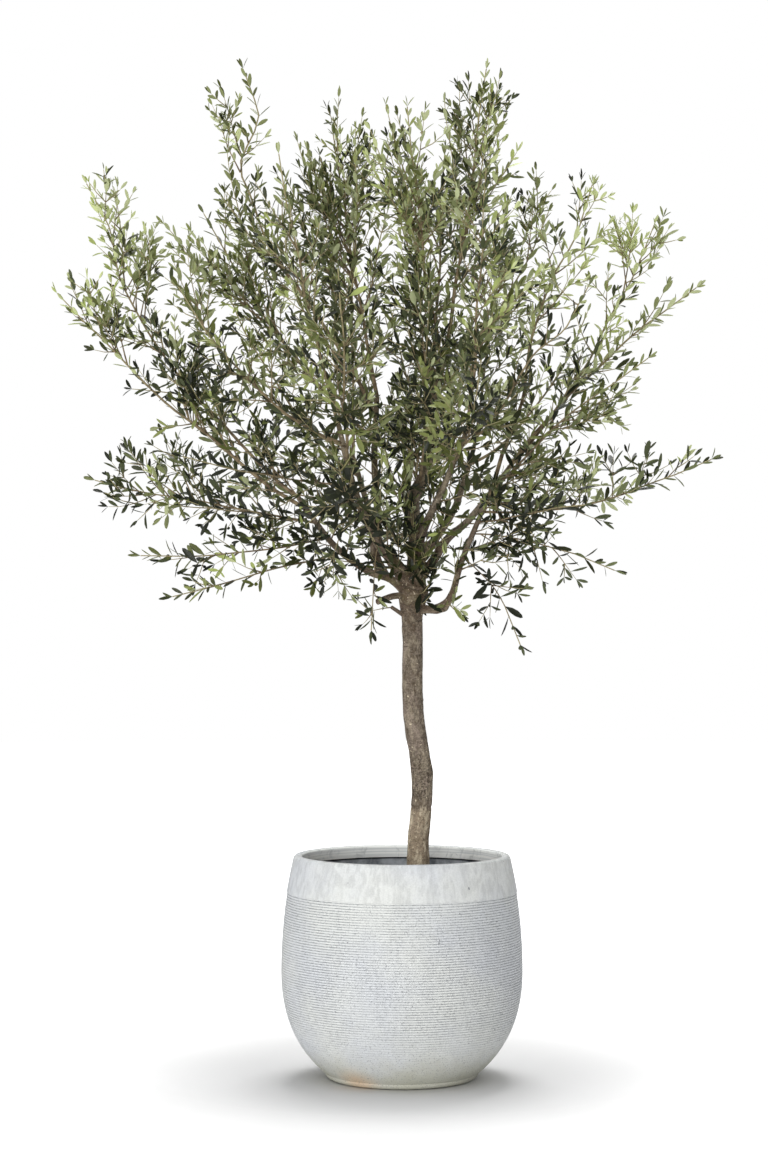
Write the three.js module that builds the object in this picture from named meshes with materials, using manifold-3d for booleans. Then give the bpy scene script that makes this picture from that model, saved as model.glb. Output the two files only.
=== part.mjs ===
// Potted olive tree: a standard with a clear stem and a loose round head, in a ribbed round planter.
// Millimetres, +Z up, -Y to the front, +X to the right. The origin is the middle of the planter's
// flat underside. Every piece is one closed solid, 0.3 mm clear of the piece that carries it.
import * as THREE from "three";
import { mergeVertices } from "three/addons/utils/BufferGeometryUtils.js";
import Module from "manifold-3d";

const wasm = await Module();
wasm.setup();

// Planter
const POT_HEIGHT = 535;
const BELLY_RADIUS = 290;
const BELLY_HEIGHT = 255;
const FOOT_RADIUS = 180;
const RIM_RADIUS = 259;
const RIM_WALL = 19;
const RIM_ROUNDING = 6;
const BODY_WALL = 16;
const FLOOR_THICKNESS = 22;
const BAND_DEPTH = 95;
const BAND_STEP = 1.5;
const RIM_COAT_DEPTH = 20;
const POT_SIDES = 32;
const OUTER_RINGS_BELOW = 5;
const OUTER_RINGS_ABOVE = 2;
const INNER_RINGS = 3;

// Compost
const SOIL_TOP = 460;
const SOIL_SIDES = 24;
const SOIL_CLEARANCE = 2.6;
const SEAT_GAP = 0.3;

// Trunk: its middle line as [across, deep, up], from the compost to the fork.
const TRUNK_COURSE = [
  [39, 4, SOIL_TOP + SEAT_GAP],
  [39, 2, 560],
  [46, -2, 640],
  [48.5, -4, 705],
  [43, -2, 770],
  [30, 2, 850],
  [25.5, 4, 930],
  [26, 2, 1040],
  [25, 0, 1140],
  [34, 0, 1200],
];
const TRUNK_RADIUS = 25.5;
const TRUNK_TAPER = 1;
const FLARE_RADIUS = 11;
const FLARE_HEIGHT = 34;
const FLARE_LOBES = 5;
const FLARE_LOBE_SHARE = 0.12;
const HEAD_SWELLING = 11;
const HEAD_LENGTH = 110;
const HEAD_DOME = 30;
const HEAD_DOME_SHARE = 0.4;
const TRUNK_SIDES = 10;
const TRUNK_STEPS = 16;

// Boughs: the limb each grows from and the place on it (0 foot, 1 tip), the points it passes
// and its own tip as [across, deep, up], and its thickness at the foot and at the tip.
const BOUGHS = {
  leader: {
    on: "trunk", place: 0.97, foot: 40, end: 18,
    course: [[36, 2, 1275], [26, 3, 1385], [58, 5, 1455], [67, 8, 1600], [108, 10, 1760]],
  },
  left_low: {
    on: "trunk", place: 0.93, foot: 20, end: 12,
    course: [[-26, -10, 1196], [-78, -20, 1214], [-160, -32, 1275], [-248, -45, 1392]],
  },
  left_rise: {
    on: "left_low", place: 0.24, foot: 21, end: 13,
    course: [[-66, 6, 1262], [-58, 22, 1330], [-66, 50, 1480], [-60, 70, 1640]],
  },
  front_left: {
    on: "trunk", place: 0.97, foot: 26, end: 12,
    course: [[-14, -46, 1234], [-50, -90, 1270], [-110, -150, 1400], [-150, -190, 1560]],
  },
  right: {
    on: "trunk", place: 0.985, foot: 23, end: 12,
    course: [[68, -12, 1230], [108, -20, 1292], [160, -30, 1338], [262, -40, 1470]],
  },
  right_low: {
    on: "trunk", place: 0.9, foot: 18, end: 11,
    course: [[84, -20, 1126], [113, -30, 1148], [142, -52, 1238], [205, -120, 1395]],
  },
  front_right: {
    on: "leader", place: 0.16, foot: 20, end: 11,
    course: [[58, -50, 1330], [100, -150, 1420], [150, -250, 1545]],
  },
  back_left: {
    on: "trunk", place: 0.95, foot: 22, end: 12,
    course: [[-2, 60, 1200], [-50, 140, 1280], [-120, 240, 1500]],
  },
  back_right: {
    on: "leader", place: 0.1, foot: 22, end: 12,
    course: [[78, 60, 1290], [130, 150, 1370], [180, 240, 1520]],
  },
  back_low: {
    on: "trunk", place: 0.91, foot: 18, end: 11,
    course: [[36, 70, 1168], [34, 170, 1220], [35, 280, 1360]],
  },
};
const BOUGH_SIDES = 6;
const BOUGH_STEPS = 8;
const COLLAR_SHARE = 0.22;
const COLLAR_FADE = 9;

// Pruned stubs on the trunk, given as boughs are.
const STUBS = {
  stub_long: { on: "trunk", place: 0.94, foot: 17, end: 15, course: [[-20, -34, 1156], [-60, -62, 1142]] },
  stub_short: { on: "trunk", place: 0.86, foot: 13, end: 9, course: [[-8, -16, 1118], [-26, -24, 1130]] },
};
const STUB_STEPS = 2;

// Masses of foliage: the bough that carries the stem and the place on it, the furthest leaf tip
// as [across, deep, up], how far the stem hangs below a straight line as a share of its length,
// and the length of its longest side twig.
const MASSES = {
  top_spire: { on: "leader", place: 1, tip: [205, 0, 2452], hang: 0.03, spread: 190 },
  top_front: { on: "leader", place: 0.92, tip: [10, -170, 2330], hang: 0.05, spread: 190 },
  top_right: { on: "leader", place: 0.82, tip: [372, 200, 2130], hang: 0.08, spread: 190 },
  top_back: { on: "leader", place: 0.74, tip: [110, 270, 2300], hang: 0.05, spread: 190 },
  left_spike: { on: "left_rise", place: 0.88, tip: [-389, 30, 2452], hang: 0.05, spread: 170 },
  upper_left_back: { on: "left_rise", place: 1, tip: [-175, 210, 2340], hang: 0.04, spread: 190 },
  left_shoulder: { on: "left_rise", place: 0.76, tip: [-500, 190, 2120], hang: 0.07, spread: 180 },
  far_left_top: { on: "left_low", place: 1, tip: [-765, -20, 2170], hang: 0.1, spread: 170 },
  far_left: { on: "left_low", place: 0.9, tip: [-830, -130, 1890], hang: 0.1, spread: 170 },
  left_side: { on: "left_low", place: 0.8, tip: [-770, 110, 1440], hang: 0, spread: 190 },
  left_under: { on: "left_low", place: 0.68, tip: [-650, -90, 1250], hang: -0.05, spread: 150 },
  left_sprig: { on: "left_low", place: 0.55, tip: [-560, -230, 1150], hang: -0.08, spread: 110 },
  front_left_high: { on: "front_left", place: 0.99, tip: [-290, -300, 2200], hang: 0.06, spread: 190 },
  front_left_far: { on: "front_left", place: 0.9, tip: [-520, -420, 1880], hang: 0.1, spread: 190 },
  front_high: { on: "front_left", place: 0.8, tip: [-140, -640, 1900], hang: 0.1, spread: 190 },
  front_left_side: { on: "front_left", place: 0.68, tip: [-520, -430, 1480], hang: 0.02, spread: 190 },
  front_under: { on: "front_left", place: 0.55, tip: [-150, -600, 1400], hang: 0, spread: 160 },
  middle_sprig: { on: "front_left", place: 0.35, tip: [-72, -190, 1050], hang: -0.14, spread: 70 },
  right_high: { on: "right", place: 0.76, tip: [455, -80, 2154], hang: 0.04, spread: 170 },
  far_right_top: { on: "right", place: 1, tip: [625, 90, 2085], hang: 0.08, spread: 150 },
  far_right: { on: "right", place: 0.88, tip: [735, 0, 1914], hang: 0.08, spread: 160 },
  right_side: { on: "right_low", place: 1, tip: [615, -190, 1690], hang: 0.04, spread: 160 },
  right_reach: { on: "right_low", place: 0.88, tip: [768, -10, 1494], hang: 0.04, spread: 130 },
  right_under: { on: "right_low", place: 0.72, tip: [525, -140, 1200], hang: -0.05, spread: 140 },
  right_sprig: { on: "right_low", place: 0.55, tip: [285, -190, 1018], hang: -0.08, spread: 110 },
  front_right_under: { on: "right_low", place: 0.8, tip: [430, -450, 1370], hang: 0, spread: 170 },
  front_right_high: { on: "front_right", place: 0.88, tip: [430, -460, 1880], hang: 0.1, spread: 190 },
  front_reach: { on: "front_right", place: 0.76, tip: [170, -680, 1690], hang: 0.08, spread: 190 },
  front_top: { on: "front_right", place: 1, tip: [190, -400, 2170], hang: 0.08, spread: 190 },
  back_left_high: { on: "back_left", place: 0.88, tip: [-450, 470, 1950], hang: 0.1, spread: 190 },
  back_top_left: { on: "back_left", place: 1, tip: [-120, 520, 2180], hang: 0.08, spread: 190 },
  back_left_side: { on: "back_left", place: 0.74, tip: [-470, 520, 1450], hang: 0.02, spread: 180 },
  back_right_high: { on: "back_right", place: 0.88, tip: [490, 460, 1900], hang: 0.1, spread: 190 },
  back_top_right: { on: "back_right", place: 1, tip: [270, 430, 2190], hang: 0.08, spread: 190 },
  back_right_side: { on: "back_right", place: 0.74, tip: [500, 500, 1450], hang: 0.02, spread: 180 },
  core_front: { on: "leader", place: 0.42, tip: [60, -350, 1850], hang: 0.06, spread: 190 },
  core_back: { on: "leader", place: 0.64, tip: [-30, 330, 1900], hang: 0.06, spread: 190 },
  back_reach: { on: "back_low", place: 1, tip: [60, 730, 1760], hang: 0.1, spread: 190 },
  back_under: { on: "back_low", place: 0.82, tip: [-60, 640, 1310], hang: 0, spread: 160 },
};

// Growth: pairs of twigs stand off a stem, each pair turned a quarter round from the last.
const STEM_FOOT_RADIUS = 4.6;
const STEM_TIP_RADIUS = 2;
const TWIG_FOOT_RADIUS = 3;
const TWIG_TIP_RADIUS = 1.8;
const STEM_STEPS = 4;
const TWIG_SIDES = 3;
const BARE_FOOT = 90;
const BARE_TIP = 60;
const PAIR_PITCH = 126;
const TWIG_ANGLE = 46;
const TWIG_ANGLE_PLAY = 8;
const TWIG_TURN_PLAY = 0.4;
const TWIG_LIFT = 0.14;
const SHORTEST_TWIG = 26;
const TWIG_TRIES = [1, 0.75, 0.5];
const QUARTER_TURN = Math.PI / 2;
const THIRD_TURN = (Math.PI * 2) / 3;

// Leaves stand for sprays, so they are larger than life and few. One ends each twig, and the
// rest stand off it in pairs.
const LEAF_LENGTH = 132;
const LEAF_WIDTH = 36;
const LEAF_THICKNESS = 3;
const LEAF_WIDEST = 0.45;
const LEAF_SIDES = 3;
const STALK_RADIUS = 1.8;
const ROOT_LENGTH = 7;
const LEAF_ANGLE = 42;
const LEAF_ROLL = 1.2;
const STEM_LEAF_PLACES = [0.93, 0.76, 0.58, 0.4];
const SIDE_LEAF_PLACES = [0.5, 0.2, 0.8];
const LEAVES_PER_MASS = 17;

// Clearances that keep each mass in its own space.
const SPACE_MARGIN = 3;
const LIMB_MARGIN = 3;
const SAMPLES = 12;
const THINNEST_FACE = 0.02;
const SEAT_ROLLS = 36;

const COLOURS = {
  pot: { color: 0xd3d5d1, roughness: 0.85, metalness: 0 },
  soil: { color: 0x2f2a26, roughness: 0.95, metalness: 0 },
  bark: { color: 0x7b6c5d, roughness: 0.9, metalness: 0 },
  foliage: { color: 0x6b7455, roughness: 0.6, metalness: 0 },
};

// A repeatable source of numbers from 0 to 1.
class Dice {
  constructor(seed) {
    this.state = Math.imul(seed + 1, 2654435761) >>> 0;
    this.next();
  }

  next() {
    this.state = (Math.imul(this.state, 1664525) + 1013904223) >>> 0;
    return this.state / 4294967296;
  }

  between(low, high) {
    return low + (high - low) * this.next();
  }
}

const vector = ([across, deep, up]) => new THREE.Vector3(across, deep, up);
const mix = (low, high, share) => low + (high - low) * share;
const smooth = (low, high, value) => THREE.MathUtils.smoothstep(value, low, high);

// A closed geometry as a solid that can be joined and cut. Faces that a point or a ring of no
// size has closed up are dropped.
function solidOf(geometry) {
  geometry.deleteAttribute("normal");
  geometry.deleteAttribute("uv");
  const merged = mergeVertices(geometry, 1e-3);
  const corners = merged.index.array;
  const kept = [];
  for (let i = 0; i < corners.length; i += 3) {
    const [a, b, c] = corners.slice(i, i + 3);
    if (a !== b && b !== c && c !== a) kept.push(a, b, c);
  }
  const vertProperties = new Float32Array(merged.attributes.position.array);
  return new wasm.Manifold(
    new wasm.Mesh({ numProp: 3, vertProperties, triVerts: new Uint32Array(kept) }),
  );
}

// A solid as a geometry again.
function geometryOf(solid) {
  const mesh = solid.getMesh();
  const geometry = new THREE.BufferGeometry();
  geometry.setAttribute("position", new THREE.BufferAttribute(mesh.vertProperties, 3));
  geometry.setIndex(new THREE.BufferAttribute(mesh.triVerts, 1));
  geometry.computeVertexNormals();
  return geometry;
}

// The height of a solid's thinnest face. A join that leaves a sliver is not kept.
function thinnestFace(solid) {
  const position = geometryOf(solid).attributes.position;
  const corners = solid.getMesh().triVerts;
  const face = new THREE.Triangle();
  let thinnest = Infinity;
  for (let i = 0; i < corners.length; i += 3) {
    face.setFromAttributeAndIndices(position, ...corners.slice(i, i + 3));
    const longest = Math.max(
      face.a.distanceTo(face.b),
      face.b.distanceTo(face.c),
      face.c.distanceTo(face.a),
    );
    thinnest = Math.min(thinnest, (2 * face.getArea()) / longest);
  }
  return thinnest;
}

const largest = (solid) => solid.decompose().sort((a, b) => b.volume() - a.volume())[0];

// A closed form swept over rows. A row is a ring round a centre: half as wide as it says along
// one direction and half as thick along the other, and the two turn right-handed about the way.
function sweep(rows, sides) {
  const geometry = new THREE.CylinderGeometry(1, 1, 1, sides, rows.length - 1);
  const place = geometry.attributes.position;
  for (let i = 0; i < place.count; i += 1) {
    const row = rows[Math.round((place.getY(i) + 0.5) * (rows.length - 1))];
    const lobe = row.lobe ? row.lobe(Math.atan2(place.getZ(i), place.getX(i))) : 1;
    const point = row.centre.clone();
    point.addScaledVector(row.across, place.getX(i) * row.wide * lobe);
    point.addScaledVector(row.face, place.getZ(i) * row.thick * lobe);
    place.setXYZ(i, point.x, point.y, point.z);
  }
  return solidOf(geometry);
}

// Round rows along a curve, from its foot to its tip, all rolled about it by one angle.
function limbRows(curve, radiusAt, steps, roll = 0) {
  const frames = curve.computeFrenetFrames(steps);
  return Array.from({ length: steps + 1 }, (_, step) => {
    const radius = radiusAt(step / steps);
    const axis = frames.tangents[step];
    return {
      centre: curve.getPointAt(step / steps),
      across: frames.normals[step].applyAxisAngle(axis, roll),
      face: frames.binormals[step].applyAxisAngle(axis, roll).negate(),
      wide: radius,
      thick: radius,
    };
  });
}

// A limb cut to sit on its neighbours, rolled about its own line to where the cut leaves no
// sliver, or the thickest one.
function seated(solidAt, cutters) {
  let best = { thinnest: 0 };
  for (let step = 0; step < SEAT_ROLLS && best.thinnest < THINNEST_FACE; step += 1) {
    const roll = (step / SEAT_ROLLS) * THIRD_TURN;
    const solid = largest(cutters.reduce((cut, cutter) => cut.subtract(cutter), solidAt(roll)));
    const thinnest = thinnestFace(solid);
    if (thinnest > best.thinnest) best = { solid, roll, thinnest };
  }
  return best;
}

// A curve from a foot to a tip that hangs below the straight line by a share of its length.
function hangingCurve(foot, tip, hang) {
  const middle = foot.clone().lerp(tip, 0.5);
  middle.z -= 2 * hang * foot.distanceTo(tip);
  return new THREE.QuadraticBezierCurve3(foot, middle, tip);
}

// The planter's outer radius: a quarter of an ellipse below the belly, a gentle curve above it.
function potRadius(up) {
  if (up > BELLY_HEIGHT) {
    const share = (up - BELLY_HEIGHT) / (POT_HEIGHT - BELLY_HEIGHT);
    return BELLY_RADIUS - (BELLY_RADIUS - RIM_RADIUS) * share ** 2;
  }
  const ellipseHeight = BELLY_HEIGHT + 35;
  const cut = Math.sqrt(1 - (BELLY_HEIGHT / ellipseHeight) ** 2);
  const ellipseRadius = (BELLY_RADIUS - FOOT_RADIUS) / (1 - cut);
  const drop = (BELLY_HEIGHT - up) / ellipseHeight;
  return BELLY_RADIUS - ellipseRadius * (1 - Math.sqrt(1 - drop ** 2));
}

const innerRadius = (up) => potRadius(up) - BODY_WALL;

// Heights of rings, closest together at the low end where the outline bends most.
function ringHeights(low, high, rings) {
  return Array.from({ length: rings + 1 }, (_, i) => mix(low, high, (i / rings) ** 1.6));
}

// A lathe turned about +Z.
function turned(outline, sides) {
  const points = outline.map(([across, up]) => new THREE.Vector2(across, up));
  const geometry = new THREE.LatheGeometry(points, sides);
  geometry.rotateX(QUARTER_TURN);
  return solidOf(geometry);
}

function potSolid() {
  const bandFoot = POT_HEIGHT - BAND_DEPTH;
  const rimInner = RIM_RADIUS - RIM_WALL;
  const coatFoot = POT_HEIGHT - RIM_COAT_DEPTH;
  const outer = (up) => [potRadius(up), up];
  const inner = (up) => [innerRadius(up), up];
  const outline = [
    [0, 0],
    ...ringHeights(0, BELLY_HEIGHT, OUTER_RINGS_BELOW).map(outer),
    ...ringHeights(BELLY_HEIGHT, bandFoot, OUTER_RINGS_ABOVE).slice(1).map(outer),
    [potRadius(bandFoot) + BAND_STEP, bandFoot + BAND_STEP],
    [RIM_RADIUS, POT_HEIGHT - RIM_ROUNDING],
    [RIM_RADIUS - RIM_ROUNDING, POT_HEIGHT],
    [rimInner, POT_HEIGHT],
    [rimInner, coatFoot],
    inner(coatFoot),
    inner(SOIL_TOP),
    ...ringHeights(FLOOR_THICKNESS, BELLY_HEIGHT, INNER_RINGS).reverse().map(inner),
    [0, FLOOR_THICKNESS],
  ];
  return turned(outline, POT_SIDES);
}

// The compost fills the planter up to its own level, with its rings at the heights of the
// planter's. It has fewer sides than the planter, so its corners need more room than a seat.
function soilSolid() {
  const [lowest, ...rings] = ringHeights(FLOOR_THICKNESS, BELLY_HEIGHT, INNER_RINGS);
  const wall = (up) => [innerRadius(up) - SOIL_CLEARANCE, up];
  const outline = [
    [0, lowest + SEAT_GAP],
    [innerRadius(lowest) - SOIL_CLEARANCE, lowest + SEAT_GAP],
    ...rings.map(wall),
    wall(SOIL_TOP),
    [0, SOIL_TOP],
  ];
  return turned(outline, SOIL_SIDES);
}

// Limbs that carry others keep their curve and radius, and can be made slightly larger to cut
// a neighbour's seat.
class Limb {
  constructor(curve, radiusAt, rowsAt, sides, neighbours) {
    this.curve = curve;
    this.radiusAt = radiusAt;
    this.points = curve.getSpacedPoints(SAMPLES * 2);
    const cutters = neighbours.map((limb) => limb.cutter);
    const { solid, roll } = seated((turn) => sweep(rowsAt(0, turn), sides), cutters);
    this.solid = solid;
    const rows = rowsAt(SEAT_GAP, roll);
    rows[0].centre.addScaledVector(curve.getTangentAt(0), -SEAT_GAP);
    rows.at(-1).centre.addScaledVector(curve.getTangentAt(1), SEAT_GAP);
    this.cutter = sweep(rows, sides);
  }

  clearOf(point) {
    return this.points.every((own, i) => {
      return own.distanceTo(point) > this.radiusAt(i / (SAMPLES * 2)) + LIMB_MARGIN;
    });
  }
}

// The trunk swells into a head at the fork and is domed at its top.
function trunkRadius(share) {
  const up = share * (TRUNK_COURSE.at(-1)[2] - SOIL_TOP);
  const left = (1 - share) * (TRUNK_COURSE.at(-1)[2] - SOIL_TOP);
  const swelling = HEAD_SWELLING * smooth(-HEAD_LENGTH, -HEAD_DOME, -left);
  const flare = FLARE_RADIUS * Math.exp(-up / FLARE_HEIGHT);
  const dome = 1 - HEAD_DOME_SHARE * smooth(-HEAD_DOME, 0, -left);
  return (TRUNK_RADIUS - TRUNK_TAPER * share + flare + swelling) * dome;
}

// The root flare bulges in lobes that die away upwards.
function flareLobes(share) {
  const up = share * (TRUNK_COURSE.at(-1)[2] - SOIL_TOP);
  const depth = FLARE_LOBE_SHARE * Math.exp(-up / FLARE_HEIGHT);
  return (angle) => 1 + depth * Math.cos(FLARE_LOBES * angle + 0.6);
}

function growTrunk() {
  const curve = new THREE.CatmullRomCurve3(TRUNK_COURSE.map(vector), false, "centripetal");
  // Rings stay level, so that the cut at the foot is flat. They are closest together there.
  const rowsAt = (gap) =>
    Array.from({ length: TRUNK_STEPS + 1 }, (_, step) => {
      const share = (step / TRUNK_STEPS) ** 1.25;
      const radius = trunkRadius(share) + gap;
      return {
        centre: curve.getPointAt(share),
        across: new THREE.Vector3(1, 0, 0),
        face: new THREE.Vector3(0, -1, 0),
        wide: radius,
        thick: radius,
        lobe: flareLobes(share),
      };
    });
  return new Limb(curve, trunkRadius, rowsAt, TRUNK_SIDES, []);
}

// A bough's foot is thickened into a collar, as where it grows out of the trunk.
function growBough(carrier, { place, course, foot, end }, steps, neighbours) {
  const points = [carrier.curve.getPointAt(place), ...course.map(vector)];
  const curve = new THREE.CatmullRomCurve3(points, false, "centripetal");
  const radiusAt = (share) => {
    const collar = COLLAR_SHARE * foot * Math.exp(-share * COLLAR_FADE);
    return mix(foot, end, share) / 2 + collar;
  };
  const rowsAt = (gap, roll) => limbRows(curve, (share) => radiusAt(share) + gap, steps, roll);
  return new Limb(curve, radiusAt, rowsAt, BOUGH_SIDES, neighbours);
}

// Trunk, boughs and stubs, each cut by the limbs that stand before it.
function growLimbs() {
  const limbs = { trunk: growTrunk() };
  const add = (name, sizes, steps) => {
    limbs[name] = growBough(limbs[sizes.on], sizes, steps, Object.values(limbs));
  };
  for (const [name, sizes] of Object.entries(BOUGHS)) add(name, sizes, BOUGH_STEPS);
  for (const [name, sizes] of Object.entries(STUBS)) add(name, sizes, STUB_STEPS);
  return limbs;
}

// A direction that leans off an axis by an angle in degrees, at a turn round the axis.
function leaning(axis, across, angle, turn) {
  const other = axis.clone().cross(across).normalize();
  const sideways = across.clone().multiplyScalar(Math.cos(turn));
  sideways.addScaledVector(other, Math.sin(turn));
  const lean = THREE.MathUtils.degToRad(angle);
  return axis.clone().multiplyScalar(Math.cos(lean)).addScaledVector(sideways, Math.sin(lean));
}

// A level direction square to an axis.
function squareTo(axis) {
  const steep = Math.abs(axis.z) > 0.95;
  const upright = steep ? new THREE.Vector3(0, 1, 0) : new THREE.Vector3(0, 0, 1);
  return upright.cross(axis).normalize();
}

// A leaf: where it starts, the way it points and how far it is rolled about that way.
class Leaf {
  constructor(start, direction, roll) {
    this.start = start;
    this.direction = direction.clone().normalize();
    this.across = leaning(this.direction, squareTo(this.direction), 90, roll);
    this.face = this.across.clone().cross(this.direction);
  }

  at(share, sideways = 0) {
    const point = this.start.clone().addScaledVector(this.direction, share * LEAF_LENGTH);
    return point.addScaledVector(this.across, (sideways * LEAF_WIDTH) / 2);
  }

  row(share, wide, thick) {
    return { centre: this.at(share), across: this.across, face: this.face, wide, thick };
  }

  // The rows that end a twig in this leaf. A ring of three corners is 1.73 radii wide and 1.5
  // radii thick.
  endRows() {
    const widest = this.row(LEAF_WIDEST, LEAF_WIDTH / Math.sqrt(3), LEAF_THICKNESS / 1.5);
    return [widest, this.row(1, 0, 0)];
  }

  // The leaf on its own stalk, which starts from a point sunk in the twig, or without its root.
  solid(rooted = true) {
    const stalk = this.row(ROOT_LENGTH / LEAF_LENGTH, STALK_RADIUS, STALK_RADIUS);
    const root = rooted ? [this.row(0, 0, 0)] : [];
    return sweep([...root, stalk, ...this.endRows()], LEAF_SIDES);
  }

  // The points that have to stay in the mass's space.
  reach() {
    return [this.at(0.2), this.at(LEAF_WIDEST, 1), this.at(LEAF_WIDEST, -1), this.at(0.75), this.at(1)];
  }
}

// A leaf on each side of a curve, its root sunk in.
function leafPair(curve, place, turn) {
  const axis = curve.getTangentAt(place);
  return [0, Math.PI].map((opposite) => {
    const direction = leaning(axis, squareTo(axis), LEAF_ANGLE, turn + opposite);
    return new Leaf(curve.getPointAt(place), direction, turn + opposite + LEAF_ROLL);
  });
}

// A side twig is longest a third of the way up the stem and short at the tip.
function twigLength(share, spread) {
  return spread * mix(0.55, 1, smooth(0, 0.3, share)) * mix(1, 0.42, smooth(0.3, 1, share));
}

// The middle lines of one mass: its stem, and the pairs of twigs that branch off it.
function growMass(limbs, sizes, seed) {
  const carrier = limbs[sizes.on];
  const foot = carrier.curve.getPointAt(sizes.place);
  const tip = vector(sizes.tip);
  const way = hangingCurve(foot, tip, sizes.hang).getTangentAt(1);
  const stem = hangingCurve(foot, tip.clone().addScaledVector(way, -LEAF_LENGTH), sizes.hang);
  const length = stem.getLength();
  const firstTurn = new Dice(seed).between(0, Math.PI);
  const twigs = [];
  const pairs = Math.floor((length - BARE_FOOT - BARE_TIP) / PAIR_PITCH) + 1;
  for (let pair = 0; pair < pairs; pair += 1) {
    const dice = new Dice(100 * (seed + 1) + pair);
    const share = (BARE_FOOT + pair * PAIR_PITCH) / length;
    const axis = stem.getTangentAt(share);
    const turn = firstTurn + pair * QUARTER_TURN + dice.between(-TWIG_TURN_PLAY, TWIG_TURN_PLAY);
    for (const opposite of [0, Math.PI]) {
      const angle = TWIG_ANGLE + dice.between(-TWIG_ANGLE_PLAY, TWIG_ANGLE_PLAY);
      const direction = leaning(axis, squareTo(axis), angle, turn + opposite);
      const reach = twigLength(share, sizes.spread) * dice.between(0.8, 1.15);
      direction.z += TWIG_LIFT;
      const long = Math.max(reach - LEAF_LENGTH / 2, SHORTEST_TWIG);
      const start = stem.getPointAt(share);
      twigs.push({ start, direction, long, turn: dice.between(0, Math.PI) });
    }
  }
  return { stem, twigs, turn: firstTurn, carrier, samples: stem.getSpacedPoints(SAMPLES * 4) };
}

const nearest = (points, point) => Math.min(...points.map((own) => own.distanceTo(point)));

// Whether every point lies in the mass's own space: nearer its stem than any other, off limbs.
function inSpace(points, mass, others, limbs) {
  return points.every((point) => {
    const own = nearest(mass.samples, point) + 2 * SPACE_MARGIN;
    const alone = others.every((other) => nearest(other.samples, point) > own);
    return alone && limbs.every((limb) => limb.clearOf(point));
  });
}

const lastLeaf = (curve, turn) => new Leaf(curve.getPointAt(1), curve.getTangentAt(1), turn);

// A stem that ends in its last leaf, as one closed form.
function stemSolid(curve, turn, roll) {
  const radiusAt = (share) => mix(STEM_FOOT_RADIUS, STEM_TIP_RADIUS, share);
  const rows = limbRows(curve, radiusAt, STEM_STEPS, roll);
  return sweep([...rows, ...lastLeaf(curve, turn).endRows()], TWIG_SIDES);
}

// A twig that ends in its last leaf. It starts from a point sunk in the stem, or without that root.
function twigSolid(curve, turn, rooted = true) {
  const [foot, tip] = limbRows(curve, (share) => mix(TWIG_FOOT_RADIUS, TWIG_TIP_RADIUS, share), 1);
  const root = rooted ? [{ ...foot, wide: 0, thick: 0 }] : [];
  const collar = { ...foot, centre: curve.getPointAt(ROOT_LENGTH / curve.getLength()) };
  return sweep([...root, collar, tip, ...lastLeaf(curve, turn).endRows()], TWIG_SIDES);
}

// A mass as it grows: a twig or leaf joins it only if it stays in the mass's own space and
// cuts through nothing beyond its root.
class GrowingMass {
  constructor(mass, others, limbs) {
    this.fits = (points) => inSpace(points, mass, others, limbs);
    const stemAt = (roll) => stemSolid(mass.stem, mass.turn, roll);
    this.solid = seated(stemAt, [mass.carrier.cutter]).solid;
    this.leaves = 1;
  }

  join(whole, beyondRoot) {
    if (!this.solid.intersect(beyondRoot).isEmpty()) return false;
    const joined = this.solid.add(whole);
    if (thinnestFace(joined) < THINNEST_FACE) return false;
    this.solid = joined;
    this.leaves += 1;
    return true;
  }

  // Adds a twig as long as the space allows, and returns its curve, or null.
  addTwig({ start, direction, long, turn }) {
    for (const share of TWIG_TRIES) {
      const end = start.clone().addScaledVector(direction, share * long);
      const curve = new THREE.LineCurve3(start, end);
      const outer = curve.getSpacedPoints(SAMPLES).slice(SAMPLES / 4);
      if (!this.fits([...outer, ...lastLeaf(curve, turn).reach()])) continue;
      if (this.join(twigSolid(curve, turn), twigSolid(curve, turn, false))) return { curve, turn };
    }
    return null;
  }

  addLeaf(leaf) {
    if (this.leaves >= LEAVES_PER_MASS || !this.fits(leaf.reach())) return;
    this.join(leaf.solid(), leaf.solid(false));
  }
}

// One mass: stem, twigs and leaves fused, with its foot cut to sit on its bough.
function massSolid(mass, masses, limbs) {
  const others = masses.filter((other) => other !== mass);
  const growing = new GrowingMass(mass, others, Object.values(limbs));
  const twigs = mass.twigs.map((twig) => growing.addTwig(twig)).filter(Boolean);
  const onStem = STEM_LEAF_PLACES.flatMap((place, round) =>
    leafPair(mass.stem, place, mass.turn + round * QUARTER_TURN),
  );
  const onTwigs = SIDE_LEAF_PLACES.flatMap((place, round) =>
    twigs.flatMap(({ curve, turn }) => leafPair(curve, place, turn + round)),
  );
  for (const leaf of [...onStem, ...onTwigs]) growing.addLeaf(leaf);
  return { solid: largest(growing.solid), leaves: growing.leaves };
}

const tree = new THREE.Group();

function addPiece(name, solid, finish) {
  const mesh = new THREE.Mesh(geometryOf(solid), new THREE.MeshStandardMaterial(COLOURS[finish]));
  mesh.name = name;
  tree.add(mesh);
}

const limbs = growLimbs();
const masses = Object.values(MASSES).map((sizes, seed) => growMass(limbs, sizes, seed));

addPiece("pot", potSolid(), "pot");
addPiece("soil", soilSolid(), "soil");
addPiece("trunk", limbs.trunk.solid, "bark");
for (const name of Object.keys(BOUGHS)) addPiece(`bough_${name}`, limbs[name].solid, "bark");
for (const name of Object.keys(STUBS)) addPiece(name, limbs[name].solid, "bark");
Object.keys(MASSES).forEach((name, index) => {
  addPiece(`foliage_${name}`, massSolid(masses[index], masses, limbs).solid, "foliage");
});

export default tree;
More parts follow.
